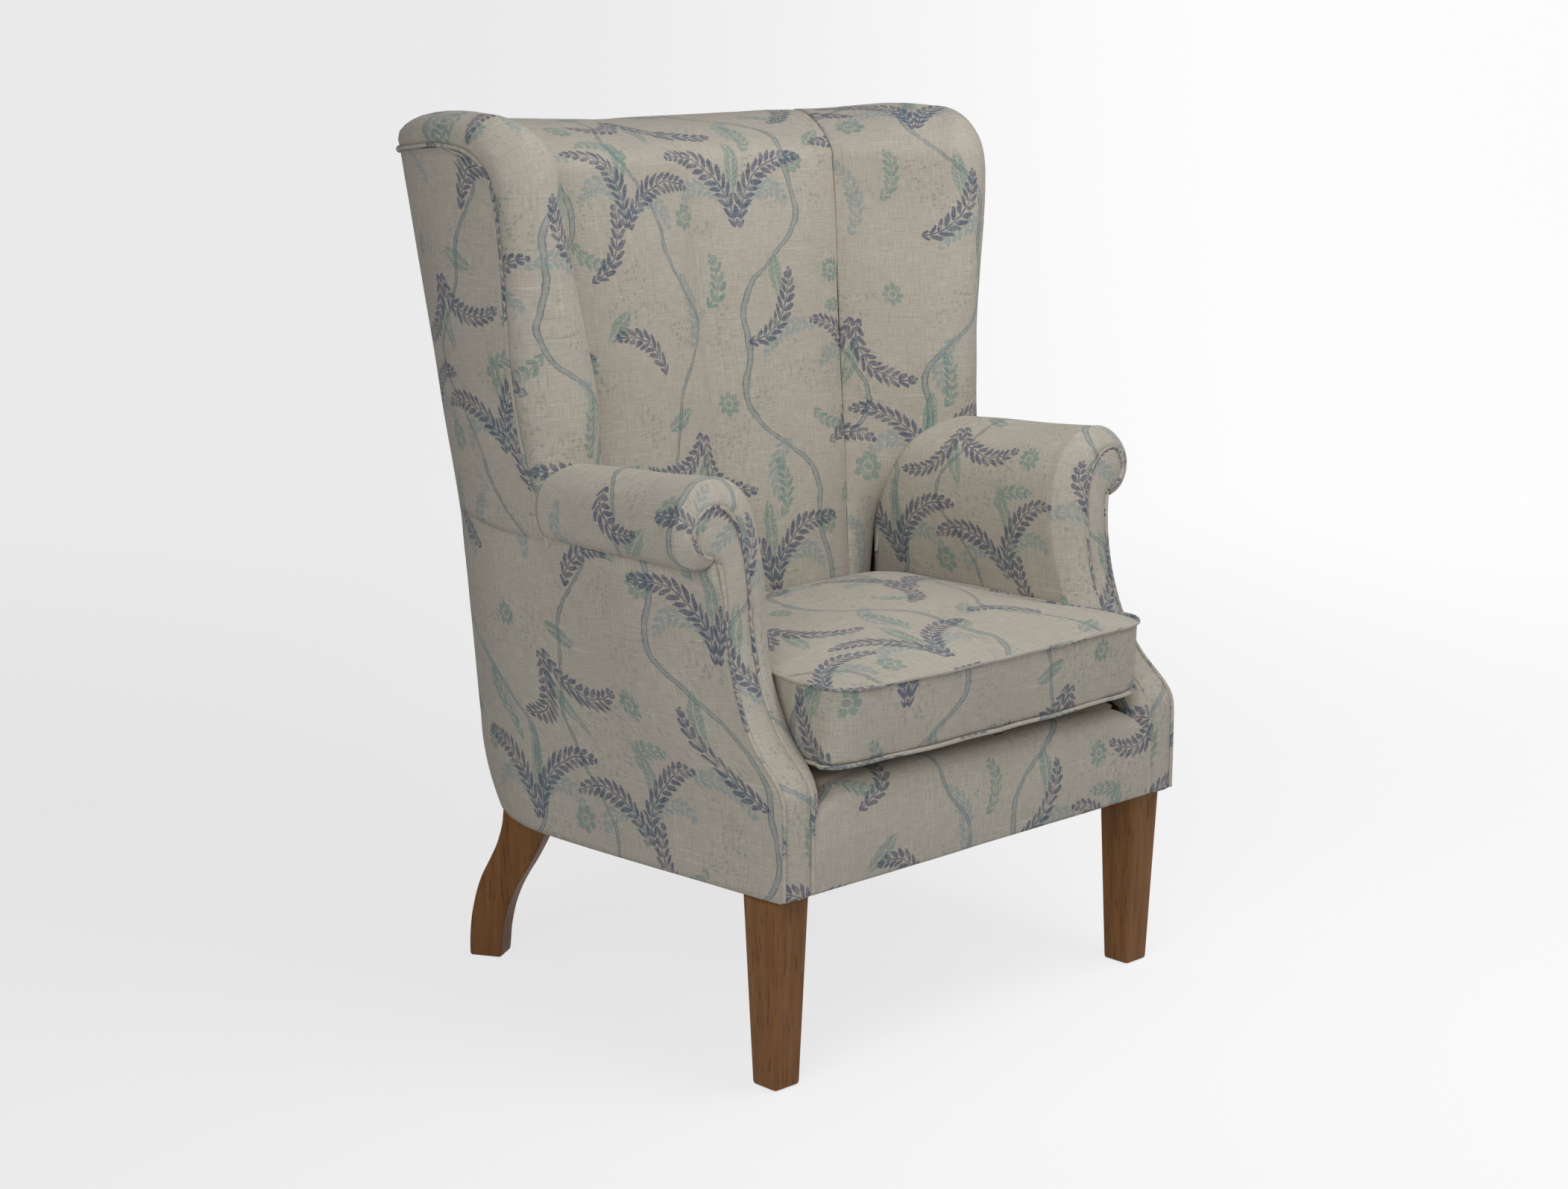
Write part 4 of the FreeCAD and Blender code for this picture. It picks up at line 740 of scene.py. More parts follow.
# %% Sweep the roll
def sweep(outer, inner, leave, arrive, reach, reach_in=None, steps=22):
    """Cubic curve from the outer to the inner line: it leaves along one direction and comes
    in along the other, and the handles' reach sets how full the roll is."""
    reach = np.asarray(reach, float)[:, None]
    reach_in = reach if reach_in is None else np.asarray(reach_in, float)[:, None]
    lines = outer, outer + leave * reach, inner + arrive * reach_in, inner
    return cubic(np.linspace(0, 1, steps)[None, :, None], *[line[:, None] for line in lines])


def puff(points, way, size=0.0045, sink=0.0012):
    """Push a roll sideways past the piping: a bell over its outer third, less a pinch at the
    seam itself."""
    run = along(points, 1)
    bell = np.exp(-((run - 0.020) / 0.016) ** 2) * size - np.exp(-(run / 0.0045) ** 2) * sink
    return points + way * bell[..., None]


def ease(x):
    """Smooth step from 0 to 1."""
    x = np.clip(x, 0, 1)
    return x * x * (3 - 2 * x)


def crest_reach(crest, outer, inner):
    """Handle length that makes the cubic's top reach the crest: three quarters of the handle
    stand above the middle of its two ends, and a height difference adds its own share."""
    rise = crest - (outer[:, 2] + inner[:, 2]) / 2
    half = (outer[:, 2] - inner[:, 2]) / 2
    return np.sqrt(np.maximum(rise ** 2 - (0.75 * half) ** 2, 1e-6)) / 0.75


climb = (edge_front[:, 2] - ARM_SEAM) * (CAP - ARM_SEAM)
z_inner = ARM_SEAM + climb / (edge_front[-1, 2] - ARM_SEAM)
inner_front = nose_inner(z_inner)
nose_radius = smooth([.557, .62, .66, .70, .75, .80, .85, .90, .93, .955],
                     [.030, .042, .050, .053, .051, .048, .0446, .042, .041, .0415], z_inner)
ASIDE, FORWARD, UPWARD = np.array([1.0, 0, 0]), np.array([0, -1.0, 0]), np.array([0, 0, 1.0])
roll_front = puff(sweep(edge_front, inner_front, FORWARD, -NOSE_TURN, nose_radius), ASIDE)

fan = np.linspace(0, np.pi / 2, corner_rows)
fan_way = stack(0.0, -np.cos(fan), np.sin(fan))
fan_into = -NOSE_TURN * np.cos(fan)[:, None] + UPWARD * np.sin(fan)[:, None]
pole = np.tile(inner_front[-1], (corner_rows, 1))

q_top = 0.5 * crowded(top_rows) + 0.5 * np.linspace(0, 1, top_rows)
inner_top = wing_face(np.full(top_rows, CAP), q_top)
CREST = {"right": [1.0176, 1.0200, 1.0196, 1.0168, 1.0134, 1.0118, 1.0112],
         "left": [1.0290, 1.0302, 1.0290, 1.0262, 1.0234, 1.0198, 1.0158]}
BACK_CREST = {"right": [1.0112, 1.0092, 1.0078, 1.0068, 1.0060],
              "left": [1.0158, 1.0130, 1.0120, 1.0088, 1.0060]}
lean_out = 1 + 0.30 * ease((q_top - 0.1) / 0.6)
top_turn = np.linspace(0, seam_turn, top_rows)
barrel_way = stack(np.cos(top_turn), np.sin(top_turn), 0.0)
q_back = crowded(back_rows)
inner_back = flute(np.full(back_rows, CAP), q_back)
lean_back = 1 + 0.30 * (1 - ease(q_back / 0.5))


def sweep_to(crest, outer, inner, lean, passes=6):
    """Upright sweep whose highest point is the crest: the reach is corrected by the height
    still missing, a few times. The lean shares the reach between the two handles."""
    reach = crest_reach(crest, outer, inner)
    for _ in range(passes):
        points = sweep(outer, inner, UPWARD, UPWARD, reach * lean, reach * (2 - lean))
        reach = reach + (crest - points[..., 2].max(1)) / 0.75
    return points, reach


def rolls(side):
    """Corner, top and back roll of one side, each brought to that side's crest."""
    crest = smooth([0, .2, .4, .6, .8, .92, 1], CREST[side], q_top)
    top, reach = sweep_to(crest, edge_top, inner_top, lean_out)
    fan_reach = 0.0415 + (reach[0] - 0.0415) * ease(fan / (np.pi / 2))
    corner = sweep(edge_corner, pole, fan_way, fan_into, fan_reach)
    notch = 0.0012 * np.exp(-(np.minimum(q_back, 1 - q_back) / 0.04) ** 2)
    back = sweep_to(smooth([0, .10, .35, .70, 1], BACK_CREST[side], q_back) - notch, edge_back,
                    inner_back, lean_back)[0]
    return puff(corner, ASIDE), puff(top, barrel_way[:, None]), back

# %% Seams drawn in, and the upright faces
def valley(points, share, way, depth, width):
    """Draw the cloth in towards a seam: depth times a bell curve of the distance from it."""
    return points + np.asarray(way, float) * (depth * np.exp(-(share / width) ** 2))[..., None]


z_low = np.linspace(.345, ARM_SEAM, 24)[:-1]
z_rows = np.concatenate([z_low, z_inner])
Z, Q = np.meshgrid(z_rows, q_top, indexing="ij")
face = wing_face(Z, Q)
face[..., :2] += (ripple(face[..., 1] * 1.3, Z, 0.0007) * np.sin(np.pi * Q))[..., None]
face = valley(face, 1 - Q, (0.2, 1, 0), 0.0010, 0.07)
Z, Q = np.meshgrid(z_rows, q_back, indexing="ij")
flutes = flute(Z, Q)
flutes = valley(flutes, np.minimum(Q, 1 - Q), (0, 1, 0), 0.0010, 0.035)

# %% The cloth maps of the cover
def map_of(u, v):
    """Cloth map from its two coordinates."""
    return np.stack(np.broadcast_arrays(u, v), -1)


def backwards(points):
    """Length from the last column back to each point of its row."""
    run = along(points, 1)
    return run[:, -1:] - run


face_u = backwards(face)
face_map = map_of(face_u, face[..., 2])
over_front = backwards(roll_front)
front_map = map_of(face_u[len(z_low):, :1] + over_front, z_inner[:, None])
flute_u = backwards(flutes)
flute_map = map_of(flute_u, flutes[..., 2])
back_grids = {}
for side in SIDES:
    roll_corner, roll_top, roll_back = rolls(side)
    roll_top[:, -1], roll_back[:, -1] = face[-1], flutes[-1]
    over_corner, over_top, over_back = (backwards(r) for r in (roll_corner, roll_top, roll_back))
    corner_map = map_of(face_u[-1, 0] + over_corner * np.cos(fan)[:, None],
                        CAP + over_corner * np.sin(fan)[:, None])
    top_map = map_of(face_u[-1][:, None], CAP + over_top)
    back_map = map_of(flute_u[-1][:, None], CAP + over_back)
    back_grids[side] = [np.swapaxes(part, 0, 1)[::-1] for part in (roll_back, back_map)]
    parts = ((face, face_map), (roll_front, front_map), (roll_corner, corner_map),
             (roll_top, top_map))
    wing = piece("wing_cover_" + side, [(part, cloth + [.31, .12], False) for part, cloth in parts],
                 mirror=side == "left", flip=True, wall=0.004)
    declare(wing, ["inside_wing_" + side], 0.85)

# %% The fluted back, both halves as one cover
def both_halves(points, cloth, other=None):
    """A right half and the left one, which is its mirror image unless given, as one grid."""
    left, left_cloth = (points, cloth) if other is None else other
    left, left_cloth = left[:, ::-1] * [-1, 1, 1], left_cloth[:, ::-1] * [-1, 1]
    return (np.concatenate([points, left[:, 1:]], 1),
            np.concatenate([cloth, left_cloth[:, 1:]], 1), False)


shift = np.array([0, .02])
(right_roll, right_map), (left_roll, left_map) = back_grids["right"], back_grids["left"]
back_cover = piece("back_cover", [
    both_halves(flutes, flute_map + shift),
    both_halves(right_roll, right_map + shift, (left_roll, left_map + shift))],
                   flip=True, wall=0.004)
declare(back_cover, ["inside_back"], 0.85)

# %% [markdown]
# ## Outside covers
# The outside arm, outside wing and outside back are flat webs of cloth pulled over the frame,
# so a single skin with a small wall is right for them. The outside arm starts at the facing's
# piping, the outside wing at the wing's piping, and both end in the corner seam.

# %% Outside arm
def outside_skin(y_start, z_low, z_high, rows=40, columns=60, sink=0.0012, front_x=None):
    """Skin from a front line to the corner seam: depth runs evenly from the start to the round
    corner and then by angle; height runs from the lower to the upper line. Along its seams the
    skin is drawn in a little. With front_x it narrows to that half width at its start."""
    v, a = np.meshgrid(np.linspace(0, 1, rows), np.linspace(0, 1, columns), indexing="ij")
    low, high = z_low(a), z_high(a)
    z = low + (high - low) * v
    back = rear_line(z) - BARREL
    start = y_start(z)
    straight, round_part = back - start, BARREL * CORNER_SEAM
    run = a * (straight + round_part)
    turn = np.clip((run - straight) / BARREL, 0, CORNER_SEAM)
    y_side = start + np.minimum(run, straight)
    y = np.where(run < straight, y_side, back + BARREL * np.sin(turn))
    x = np.where(run < straight, side_x(np.minimum(y_side, back), z),
                 half_width(z) - BARREL + BARREL * np.cos(turn))
    x = x + ripple(y, z, 0.0005) * np.sin(np.pi * v)
    if front_x is not None:
        x = x - (side_x(start, z) - front_x(z)) * (1 - ease(run / 0.14))
    x = x - sink * np.exp(-(run / 0.007) ** 2)
    return stack(x, y, z), map_of(run, z)


def front_return(skin, cloth, steps=7):
    """Turn of the skin round the arm's front edge: a quarter circle from the facing's piping
    to the first line of the side."""
    first = skin[:, :1]
    turn = np.linspace(0, math.pi / 2, steps)[None, :-1]
    inner_x = facing_out(first[..., 2]) + 0.0004
    wide = first[..., 0] - inner_x
    x = inner_x + wide * np.sin(turn)
    y = first[..., 1] - 0.0045 * np.cos(turn) + 0.001
    lap = stack(x, y, first[..., 2])
    lap_map = map_of(cloth[:, :1, 0] - 0.008 * (1 - turn / (math.pi / 2)), cloth[:, :1, 1])
    return np.concatenate([lap, skin], 1), np.concatenate([lap_map, cloth], 1)


def arm_top(a):
    """Upper edge of the outside arm: falls from the scroll to the roll's end, then rises
    gently to the corner seam."""
    return smooth([0, .12, .30, .46, .62, .80, 1],
                  [.574, .568, .565, .566, .564, .570, .577], a)


def skin_start(z):
    """Half width of the outside arm behind the facing: wider under the roll, over the rail."""
    return np.maximum(facing_out(z) + 0.0030, 0.3140 + 0.0085 * ease((z - 0.535) / 0.018))


arm_skin, arm_map = front_return(*outside_skin(
    lambda z: arm_front(z) + 0.004, lambda a: HEM, arm_top, sink=0.0, front_x=skin_start))
pair_of("outside_arm_cover_", "outside_arm_",
        lambda side: [(arm_skin, arm_map + [.05, .0], False)], 0.9, wall=0.006)

# %% Outside wing
def wing_start(z):
    """Front line of the outside wing: the piping line, read by height."""
    return smooth(EDGE_Z[:14], EDGE_Y[:14], np.minimum(z, .9939))


def wing_low(a):
    """Lower edge: on from the outside arm's upper edge."""
    return smooth([0, .35, 1], [.5595, .566, .577], a)


def wing_high(a):
    """Upper edge: the rim's height from the top of the piping to the corner seam."""
    return smooth([0, .3, 1], [.9940, .9900, .982], a)


wing_skin, wing_map = outside_skin(wing_start, wing_low, wing_high, columns=44)
pair_of("outside_wing_cover_", "outside_wing_",
        lambda side: [(wing_skin, wing_map + [.21, .03], False)], 0.9, wall=0.006)

# %% Outside back
def back_skin(rows=60, columns=60):
    """Skin across the back: corner angle from one seam to the middle line, then straight, then
    the same mirrored; the hem is drawn in, the middle stands a little full."""
    z = np.linspace(HEM, RIM, rows)[:, None]
    turn = np.linspace(CORNER_SEAM, math.pi / 2, columns)[None]
    corner = barrel(z, turn)
    flat = np.linspace(1, 0, 16)[None, 1:]
    middle = stack((half_width(z) - BARREL) * flat, rear_line(z), z)
    half = np.concatenate([corner, middle], 1)
    full = np.sin(np.pi * np.linspace(0, 1, rows))[:, None]
    swell = 0.002 * full * (1 - (half[..., 0] / 0.34) ** 2)
    half[..., 1] += swell + ripple(half[..., 0], z, .0004)
    return half


half = back_skin()
half_map = map_of(backwards(half), half[..., 2])
outside = piece("outside_back_cover", [both_halves(half, half_map + [.0, .21])], wall=0.006)
declare(outside, ["outside_back"], 0.9)

# %% [markdown]
# ## Arms
# The inside arm is a padded web that climbs from the seat, arches over to the arm roll and
# tucks under it. In front it swells round the facing like a soft collar. One grid makes all of
# it: one direction goes round the collar and over the roll, the other starts at the facing's
# edge, bulges forward, turns and runs back to the wing.

# %% Lines of the arm
# Each row: half width and height of the facing's edge, the same of the pad's outline, then the
# depth at which the pad ends behind.
ARM_LINE = np.array([
    [.2790, .2950, .2775, .2950, -.318],
    [.2790, .3060, .2660, .3020, -.318],
    [.2790, .3200, .2590, .3130, -.318],
    [.2790, .3400, .2575, .3340, -.290],
    [.2786, .3640, .2520, .3620, .078],
    [.2784, .4000, .2450, .4000, .079],
    [.2775, .4500, .2425, .4480, .076],
    [.2763, .5000, .2362, .4950, .070],
    [.2755, .5400, .2345, .5400, .058],
    [.2768, .5680, .2375, .5680, .046],
    [.2810, .5860, .2425, .5920, .036],
    [.2870, .6020, .2500, .6110, .028],
    [.2950, .6150, .2620, .6280, .021],
    [.3050, .6235, .2790, .6410, .016],
    [.3200, .6275, .3030, .6490, .012],
    [.3330, .6250, .3260, .6480, .009],
    [.3430, .6165, .3480, .6370, .007],
    [.3477, .6040, .3650, .6130, .005],
    [.3455, .5920, .3650, .5880, .004],
    [.3385, .5830, .3560, .5720, .004],
    [.3290, .5780, .3430, .5635, .004],
    [.3215, .5760, .3290, .5615, .004],
])
# The two arms are stuffed by hand and differ a little: how much fuller the roll stands, how far
# the scroll lies outwards and upwards, and how large it is.
PLUMP = {"right": -.0010, "left": .0100}
SCROLL_SIDE = {"right": (-.0015, -.0030, .96), "left": (.0015, .0030, 1.04)}
SCROLL = np.array([.3215, .6015])
SCROLL_R = .0262


def lifted(z, side):
    """Extra height of the roll: nothing below the scroll's middle, all of it at the top."""
    return PLUMP[side] * ease((z - .575) / .060)


def facing_rim(x, z, side):
    """Edge of the facing with the side's own scroll: moved and scaled about its middle."""
    out, up, size = SCROLL_SIDE[side]
    share = ease((z - .560) / .030)
    return (x + share * (out + (size - 1) * (x - SCROLL[0])),
            z + share * (up + (size - 1) * (z - SCROLL[1])))


def arm_pad(side, rows=150, front=18, length=44):
    """Collar from the facing's edge F to the outline P as a half ellipse that bulges forward,
    then straight back from P to the wing while the roll tapers."""
    key = run_of(ARM_LINE[:, 2], ARM_LINE[:, 3])
    c = np.linspace(0, key[-1], rows)
    fx, fz, px, pz, rear = smooth(key, ARM_LINE, c).T
    fx, fz = facing_rim(fx, fz, side)
    pz = pz + lifted(pz, side)
    wide = np.hypot(px - fx, pz - fz)
    y0 = arm_front(fz)
    y1 = arm_front(pz) + np.minimum(0.020, wide * 0.7)
    psi = np.linspace(0, np.pi, front)[None]
    across = (1 - np.sign(np.cos(psi)) * np.abs(np.cos(psi)) ** .9) / 2
    swell = (0.0050 * np.minimum(wide / 0.03, 1))[:, None]
    gather = np.exp(-((c[:, None] - key[12]) / .06) ** 2)
    creases = 1 + 0.10 * np.sin(c * 420 + 0.6)[:, None] * gather
    bulge = swell * creases * np.sin(psi) ** 1.1
    collar = stack(fx[:, None] + (px - fx)[:, None] * across,
                   y0[:, None] + (y1 - y0)[:, None] * across ** 1.6 - bulge,
                   fz[:, None] + (pz - fz)[:, None] * across)
    t = np.linspace(0, 1, length)[None, 1:]
    y = y1[:, None] + (rear - y1)[:, None] * t
    far = np.clip((y + 0.24) / 0.24, 0, 1)
    high = np.clip((pz[:, None] - 0.56) / 0.09, 0, 1)
    outer = np.clip((px[:, None] - 0.33) / 0.045, 0, 1)
    x = px[:, None] - 0.004 * far * outer + ripple(y, c[:, None], .0006)
    z = pz[:, None] - 0.0130 * far * high + ripple(y * .7, c[:, None], .0006) * high
    back = stack(x, y, z)
    return np.concatenate([collar, back], 1), c


def arm_grids(side):
    """The arm pad of one side with its cloth map."""
    pad, around = arm_pad(side)
    pad_map = map_of(along(pad, 1), around[:, None] + np.zeros(pad.shape[:2]))
    return [(pad, pad_map + [.11, .07], False)]


pair_of("arm_cover_", "arm_pad_", arm_grids, 0.8, flip=True, wall=0.004)

# %% [markdown]
# The facing is a thin padded board that is covered on its own and set on the front of the arm,
# with piping round it. Its outline is two lines that run side by side up the arm and close in
# a round scroll.

# %% Facing
CURL_ROWS = slice(9, 14)    # rows of the arm's line from the neck to the scroll


def scroll(start, end, count):
    """Points on the scroll's circle between two angles."""
    turn = np.radians(np.linspace(start, end, count))
    return np.stack([SCROLL[0] + SCROLL_R * np.cos(turn), SCROLL[1] + SCROLL_R * np.sin(turn)], -1)


def inner_line(low, end, count):
    """Inner edge of the facing in front view, from its foot to an angle on the scroll."""
    z = np.linspace(low, .540, 50)
    return np.concatenate([np.stack([smooth(FACING_Z, FACING_IN, z), z], -1),
                           ARM_LINE[CURL_ROWS, :2], scroll(112, end, count)])


def outer_line(low, high):
    """Outer edge of the facing below the scroll, in front view."""
    z = np.linspace(low, high, 60)
    return np.stack([facing_out(z), z], -1)


def facing_edges(side, count=90):
    """Inner and outer edge of one side's facing, both from the hem to the scroll's top."""
    outer = np.concatenate([outer_line(.2212, .570), scroll(-84, 80, 34)])
    for line in (inner_line(.2212, 80, 6), outer):
        x, z = facing_rim(line[:, 0], line[:, 1], side)
        yield even(stack(x, 0.0, z), count)[:, [0, 2]]


def facing_grids(side):
    """The facing between its two edges, a little domed, with its cloth map."""
    inner, outer = facing_edges(side)
    share = crowded(17)[None]
    plate_x = inner[:, :1] + (outer[:, :1] - inner[:, :1]) * share
    plate_z = inner[:, 1:] + (outer[:, 1:] - inner[:, 1:]) * share
    wide = np.hypot(outer[:, :1] - inner[:, :1], outer[:, 1:] - inner[:, 1:])
    dome = 0.0036 * np.minimum(wide / .03, 1) * (1 - np.abs(2 * share - 1) ** 2.6) - 0.0004
    facing = stack(plate_x, arm_front(plate_z) - dome, plate_z)
    return [(facing, map_of(plate_x, along(facing, 0)) + [.17, .31], False)]


pair_of("facing_cover_", "facing_", facing_grids, 0.9, wall=0.005)

# %% [markdown]
# ## Piping
# Piping is a thin cord in a bias strip of the cloth, caught in a seam. So it is a tube along
# the seam's line, half sunk between the two covers.

# %% Lines of the piping
CORD = 0.0024


def facing_cords(side):
    """The inner cord, which curls round the scroll to its underside, and the outer cord."""
    cords = []
    for line, turn in ((inner_line(.2222, -84, 44), 1.0), (outer_line(.2222, .572), 1.3)):
        x, z = facing_rim(line[:, 0], line[:, 1], side)
        path = even(stack(x, arm_front(z) - 0.0012, z), 150)
        cords.append(tube(path, CORD, side=(1, 0.15, 0.2), turn=turn))
    return cords


pair_of("facing_cord_", "facing_piping_", facing_cords, slot="fabric_piping")

# %% Wing piping and arm seam piping
rim_path = np.concatenate([edge_front, edge_corner[1:], edge_top[1:]])
stop = np.argmax(np.arctan2(rim_path[:, 1] - (rear_line(rim_path[:, 2]) - BARREL),
                            rim_path[:, 0] - half_width(rim_path[:, 2]) + BARREL) > CORNER_SEAM)
rim_path = even(rim_path[:stop + 1] if stop else rim_path, 170)
rim_path[:, 0] += 0.0004
knob = 1 + 0.9 * np.exp(-((np.arange(170) - 167) / 2.2) ** 2)
pair_of("wing_cord_", "wing_piping_", lambda side: [tube(rim_path, CORD * knob, side=(1, .3, .2))],
        slot="fabric_piping")

SEAM = np.array([[.347, .0015, .630], [.335, .003, .6365], [.310, .006, .6335],
                 [.285, .009, .6265], [.263, .015, .609], [.249, .022, .590],
                 [.2405, .034, .562], [.2385, .048, .535], [.2385, .061, .507],
                 [.2385, .070, .462]])
seam_run = along(SEAM, 0)
seam_path = smooth(seam_run, SEAM, np.linspace(0, seam_run[-1], 110))


def arm_seam_cord(side):
    """Cord of the seam between arm and wing, raised with the side's roll."""
    own_path = seam_path + stack(0.0, 0.0, lifted(seam_path[:, 2], side))
    return [tube(own_path, CORD, side=(.3, 1, .3))]


pair_of("arm_seam_cord_", "arm_seam_piping_", arm_seam_cord, slot="fabric_piping")

# %% [markdown]
# ## Front border and platform
# Under the cushion the border rolls over a soft lip and runs back as the platform cloth. Near
# the arms the lip sinks, because the arm pads stand on it.

# %% Front border
def lip_height(x):
    """Height of the lip: level, then falling towards the facings."""
    return smooth([0, .200, .231, .259, .2792], [.3335, .3330, .3305, .3190, .3090], np.abs(x))


def border(columns=120):
    """Profile: straight up from the hem, a quarter circle of 20 mm over the lip, then back."""
    x = np.sin(np.linspace(-math.pi / 2, math.pi / 2, columns)) * .2788
    top, crown, face_y = lip_height(x), .020, -.3474
    up = np.linspace(0, 1, 26)[:, None]
    front_y = face_y - .0035 * np.sin(np.pi * up) + ripple(x * .8, up * .1, .0004)
    wall = stack(x, front_y, HEM + (top - crown - HEM) * up)
    turn = np.linspace(0, math.pi / 2, 9)[1:, None]
    roll = stack(x, face_y + crown * (1 - np.cos(turn)), top - crown + crown * np.sin(turn))
    rest = np.linspace(0, 1, 6)[1:, None]
    back = stack(x, -.3274 + .015 * rest, top)
    return np.concatenate([wall, roll, back], 0)


lip = border()
lip_map = map_of(lip[..., 0], along(lip, 0))
border_cover = piece("border_cover", [(lip, lip_map + [.02, .33], False)], wall=0.005)
declare(border_cover, ["front_border"], 0.85)

# %% Platform
deck_low, deck_high = (np.array(corner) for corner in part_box("seat_deck"))
x = np.linspace(-1, 1, 40)[None]
y = np.linspace(0, 1, 40)[:, None]
deck_y = deck_low[1] + (deck_high[1] - deck_low[1]) * y
deck_half = np.full_like(deck_y, min(deck_high[0], .2425))
deck_half = np.where(deck_y > .03, .2425 - (deck_y - .03) * 1.1, deck_half)
deck_z = .3420 - .010 * np.clip(-(deck_y + .26) / .06, 0, 1) + .0015 * (1 - x ** 4)
platform = stack(x * deck_half, deck_y, deck_z)
deck_cover = piece("platform_cover",
                   [(platform, map_of(platform[..., 0], platform[..., 1]), False)], wall=0.028)
declare(deck_cover, ["seat_deck"], 0.8, deck_cloth, "deck_cloth")

# %% [markdown]
# ## Seat cushion
# A box cushion: two panels, a border between them and piping in both seams, filled tight. The
# seams can't stretch, so the piping lines are held still while a cloth simulation blows the
# panels up from inside. That gives the crown, the full border and the small pulls at the
# corners, which are hard to draw by hand.

# %% Plan of the cushion
LOW, HIGH = .356, .441


def cushion_plan(z, count=260, inset=0.0):
    """Outline in plan: sides that swell in front of the arms, a bowed front, round corners."""
    back = float(side_seam(np.array(HIGH))[1]) - .012
    right = np.array([[0, -.3755], [.090, -.3745], [.165, -.3715], [.208, -.3680], [.236, -.3600],
                      [.2500, -.3430], [.2535, -.3180], [.2525, -.2950], [.2450, -.2660],
                      [.2385, -.2350], [.2370, -.1500], [.2370, -.0500], [.2340, back - .050],
                      [.2230, back - .018], [.1980, back - .003], [.1500, back], [0, back]])
    key = run_of(*right.T)
    half = smooth(key, right, np.linspace(0, key[-1], count // 2 + 1))
    low = (HIGH - z) / (HIGH - LOW)
    half[:, 1] -= .015 * low * np.clip(half[:, 1] / .05, 0, 1)
    half[:, 1] += .012 * low * np.clip((-.3 - half[:, 1]) / .07, 0, 1)
    half[:, 0] += .009 * low * ease((-.325 - half[:, 1]) / .015) * ease(half[:, 0] / .2)
    ring = np.concatenate([half, half[-2:0:-1] * [-1, 1]])
    away = ring - [0, -.16]
    ring = ring - inset * away / np.linalg.norm(away, axis=1, keepdims=True)
    return np.c_[ring, np.full(len(ring), z)]


def shrunk(z, share):
    """The outline at a height, shrunk towards the cushion's middle by a share."""
    middle = np.array([0, -.16, 0])
    return middle + (cushion_plan(z) - middle) * [share, share, 1]


def cushion_start():
    """Closed start form: the border between the two seams, and panels that close by rings
    shrunk towards the middle and raised to a low crown."""
    rings = []
    for share in np.linspace(0.0, 1, 9)[:-1] ** 0.7:
        ring = shrunk(LOW, share)
        ring[:, 2] = LOW - .008 * (1 - share ** 3)
        rings.append(ring)
    rings += [cushion_plan(LOW + (HIGH - LOW) * s) for s in (0, .25, .5, .75, 1)]
    for share in (np.linspace(0.0, 1, 12)[:-1] ** 0.7)[::-1]:
        ring = shrunk(HIGH, share)
        rear = ease((ring[:, 1] + .30) / .30)
        ring[:, 2] = HIGH + (.017 + .009 * rear) * (1 - share ** 4)
        rings.append(ring)
    return np.stack(rings)


form = cushion_start()
print("cushion plan", form[..., 0].max().round(4), form[..., 1].min().round(4))

# %% Blow the cushion up
def still_at_seams(points):
    """How firmly each point is held: 1 within 4.5 mm of a piping line, 0 from 9.5 mm on."""
    near = np.full(len(points), 9.0)
    for height in (HIGH, LOW):
        ring = cushion_plan(height)[::2, :2]
        flat = np.sqrt(((points[:, None, :2] - ring[None]) ** 2).sum(-1)).min(1)
        near = np.minimum(near, np.hypot(flat, points[:, 2] - height))
    return np.clip((.0095 - near) / .005, 0, 1)


def blow_up(thing, pressure=4.0, cap=0.022, frames=20):
    """Voxel remesh, cloth with pressure and no gravity, seams pinned, moves capped."""
    remesh = thing.modifiers.new("remesh", "REMESH")
    remesh.mode, remesh.voxel_size = "VOXEL", 0.005
    mesh = settled(thing)
    rest = coordinates(mesh)
    group = thing.vertex_groups.new(name="seams")
    hold = still_at_seams(rest)
    for level in np.unique(np.round(hold[hold > 0.02], 1)):
        chosen = np.flatnonzero(np.isclose(np.round(hold, 1), level)).tolist()
        group.add(chosen, float(level), "REPLACE")
    cloth = thing.modifiers.new("cloth", "CLOTH")
    settings = cloth.settings
    settings.use_pressure, settings.uniform_pressure_force = True, pressure
    settings.vertex_group_mass = "seams"
    settings.effector_weights.gravity = 0
    settings.quality = 6
    settings.tension_stiffness = settings.compression_stiffness = 12
    settings.bending_stiffness = 1.2
    cloth.collision_settings.use_collision = False
    for frame_number in range(1, frames + 1):
        bpy.context.scene.frame_set(frame_number)
    mesh = settled(thing)
    bpy.context.scene.frame_set(1)
    step = coordinates(mesh) - rest
    far = np.linalg.norm(step, axis=1, keepdims=True)
    rest = rest + step * np.minimum(1, cap / np.maximum(far, 1e-9))
    print("cushion moved", far.max().round(4), "mean", far.mean().round(4))
    return mesh, rest


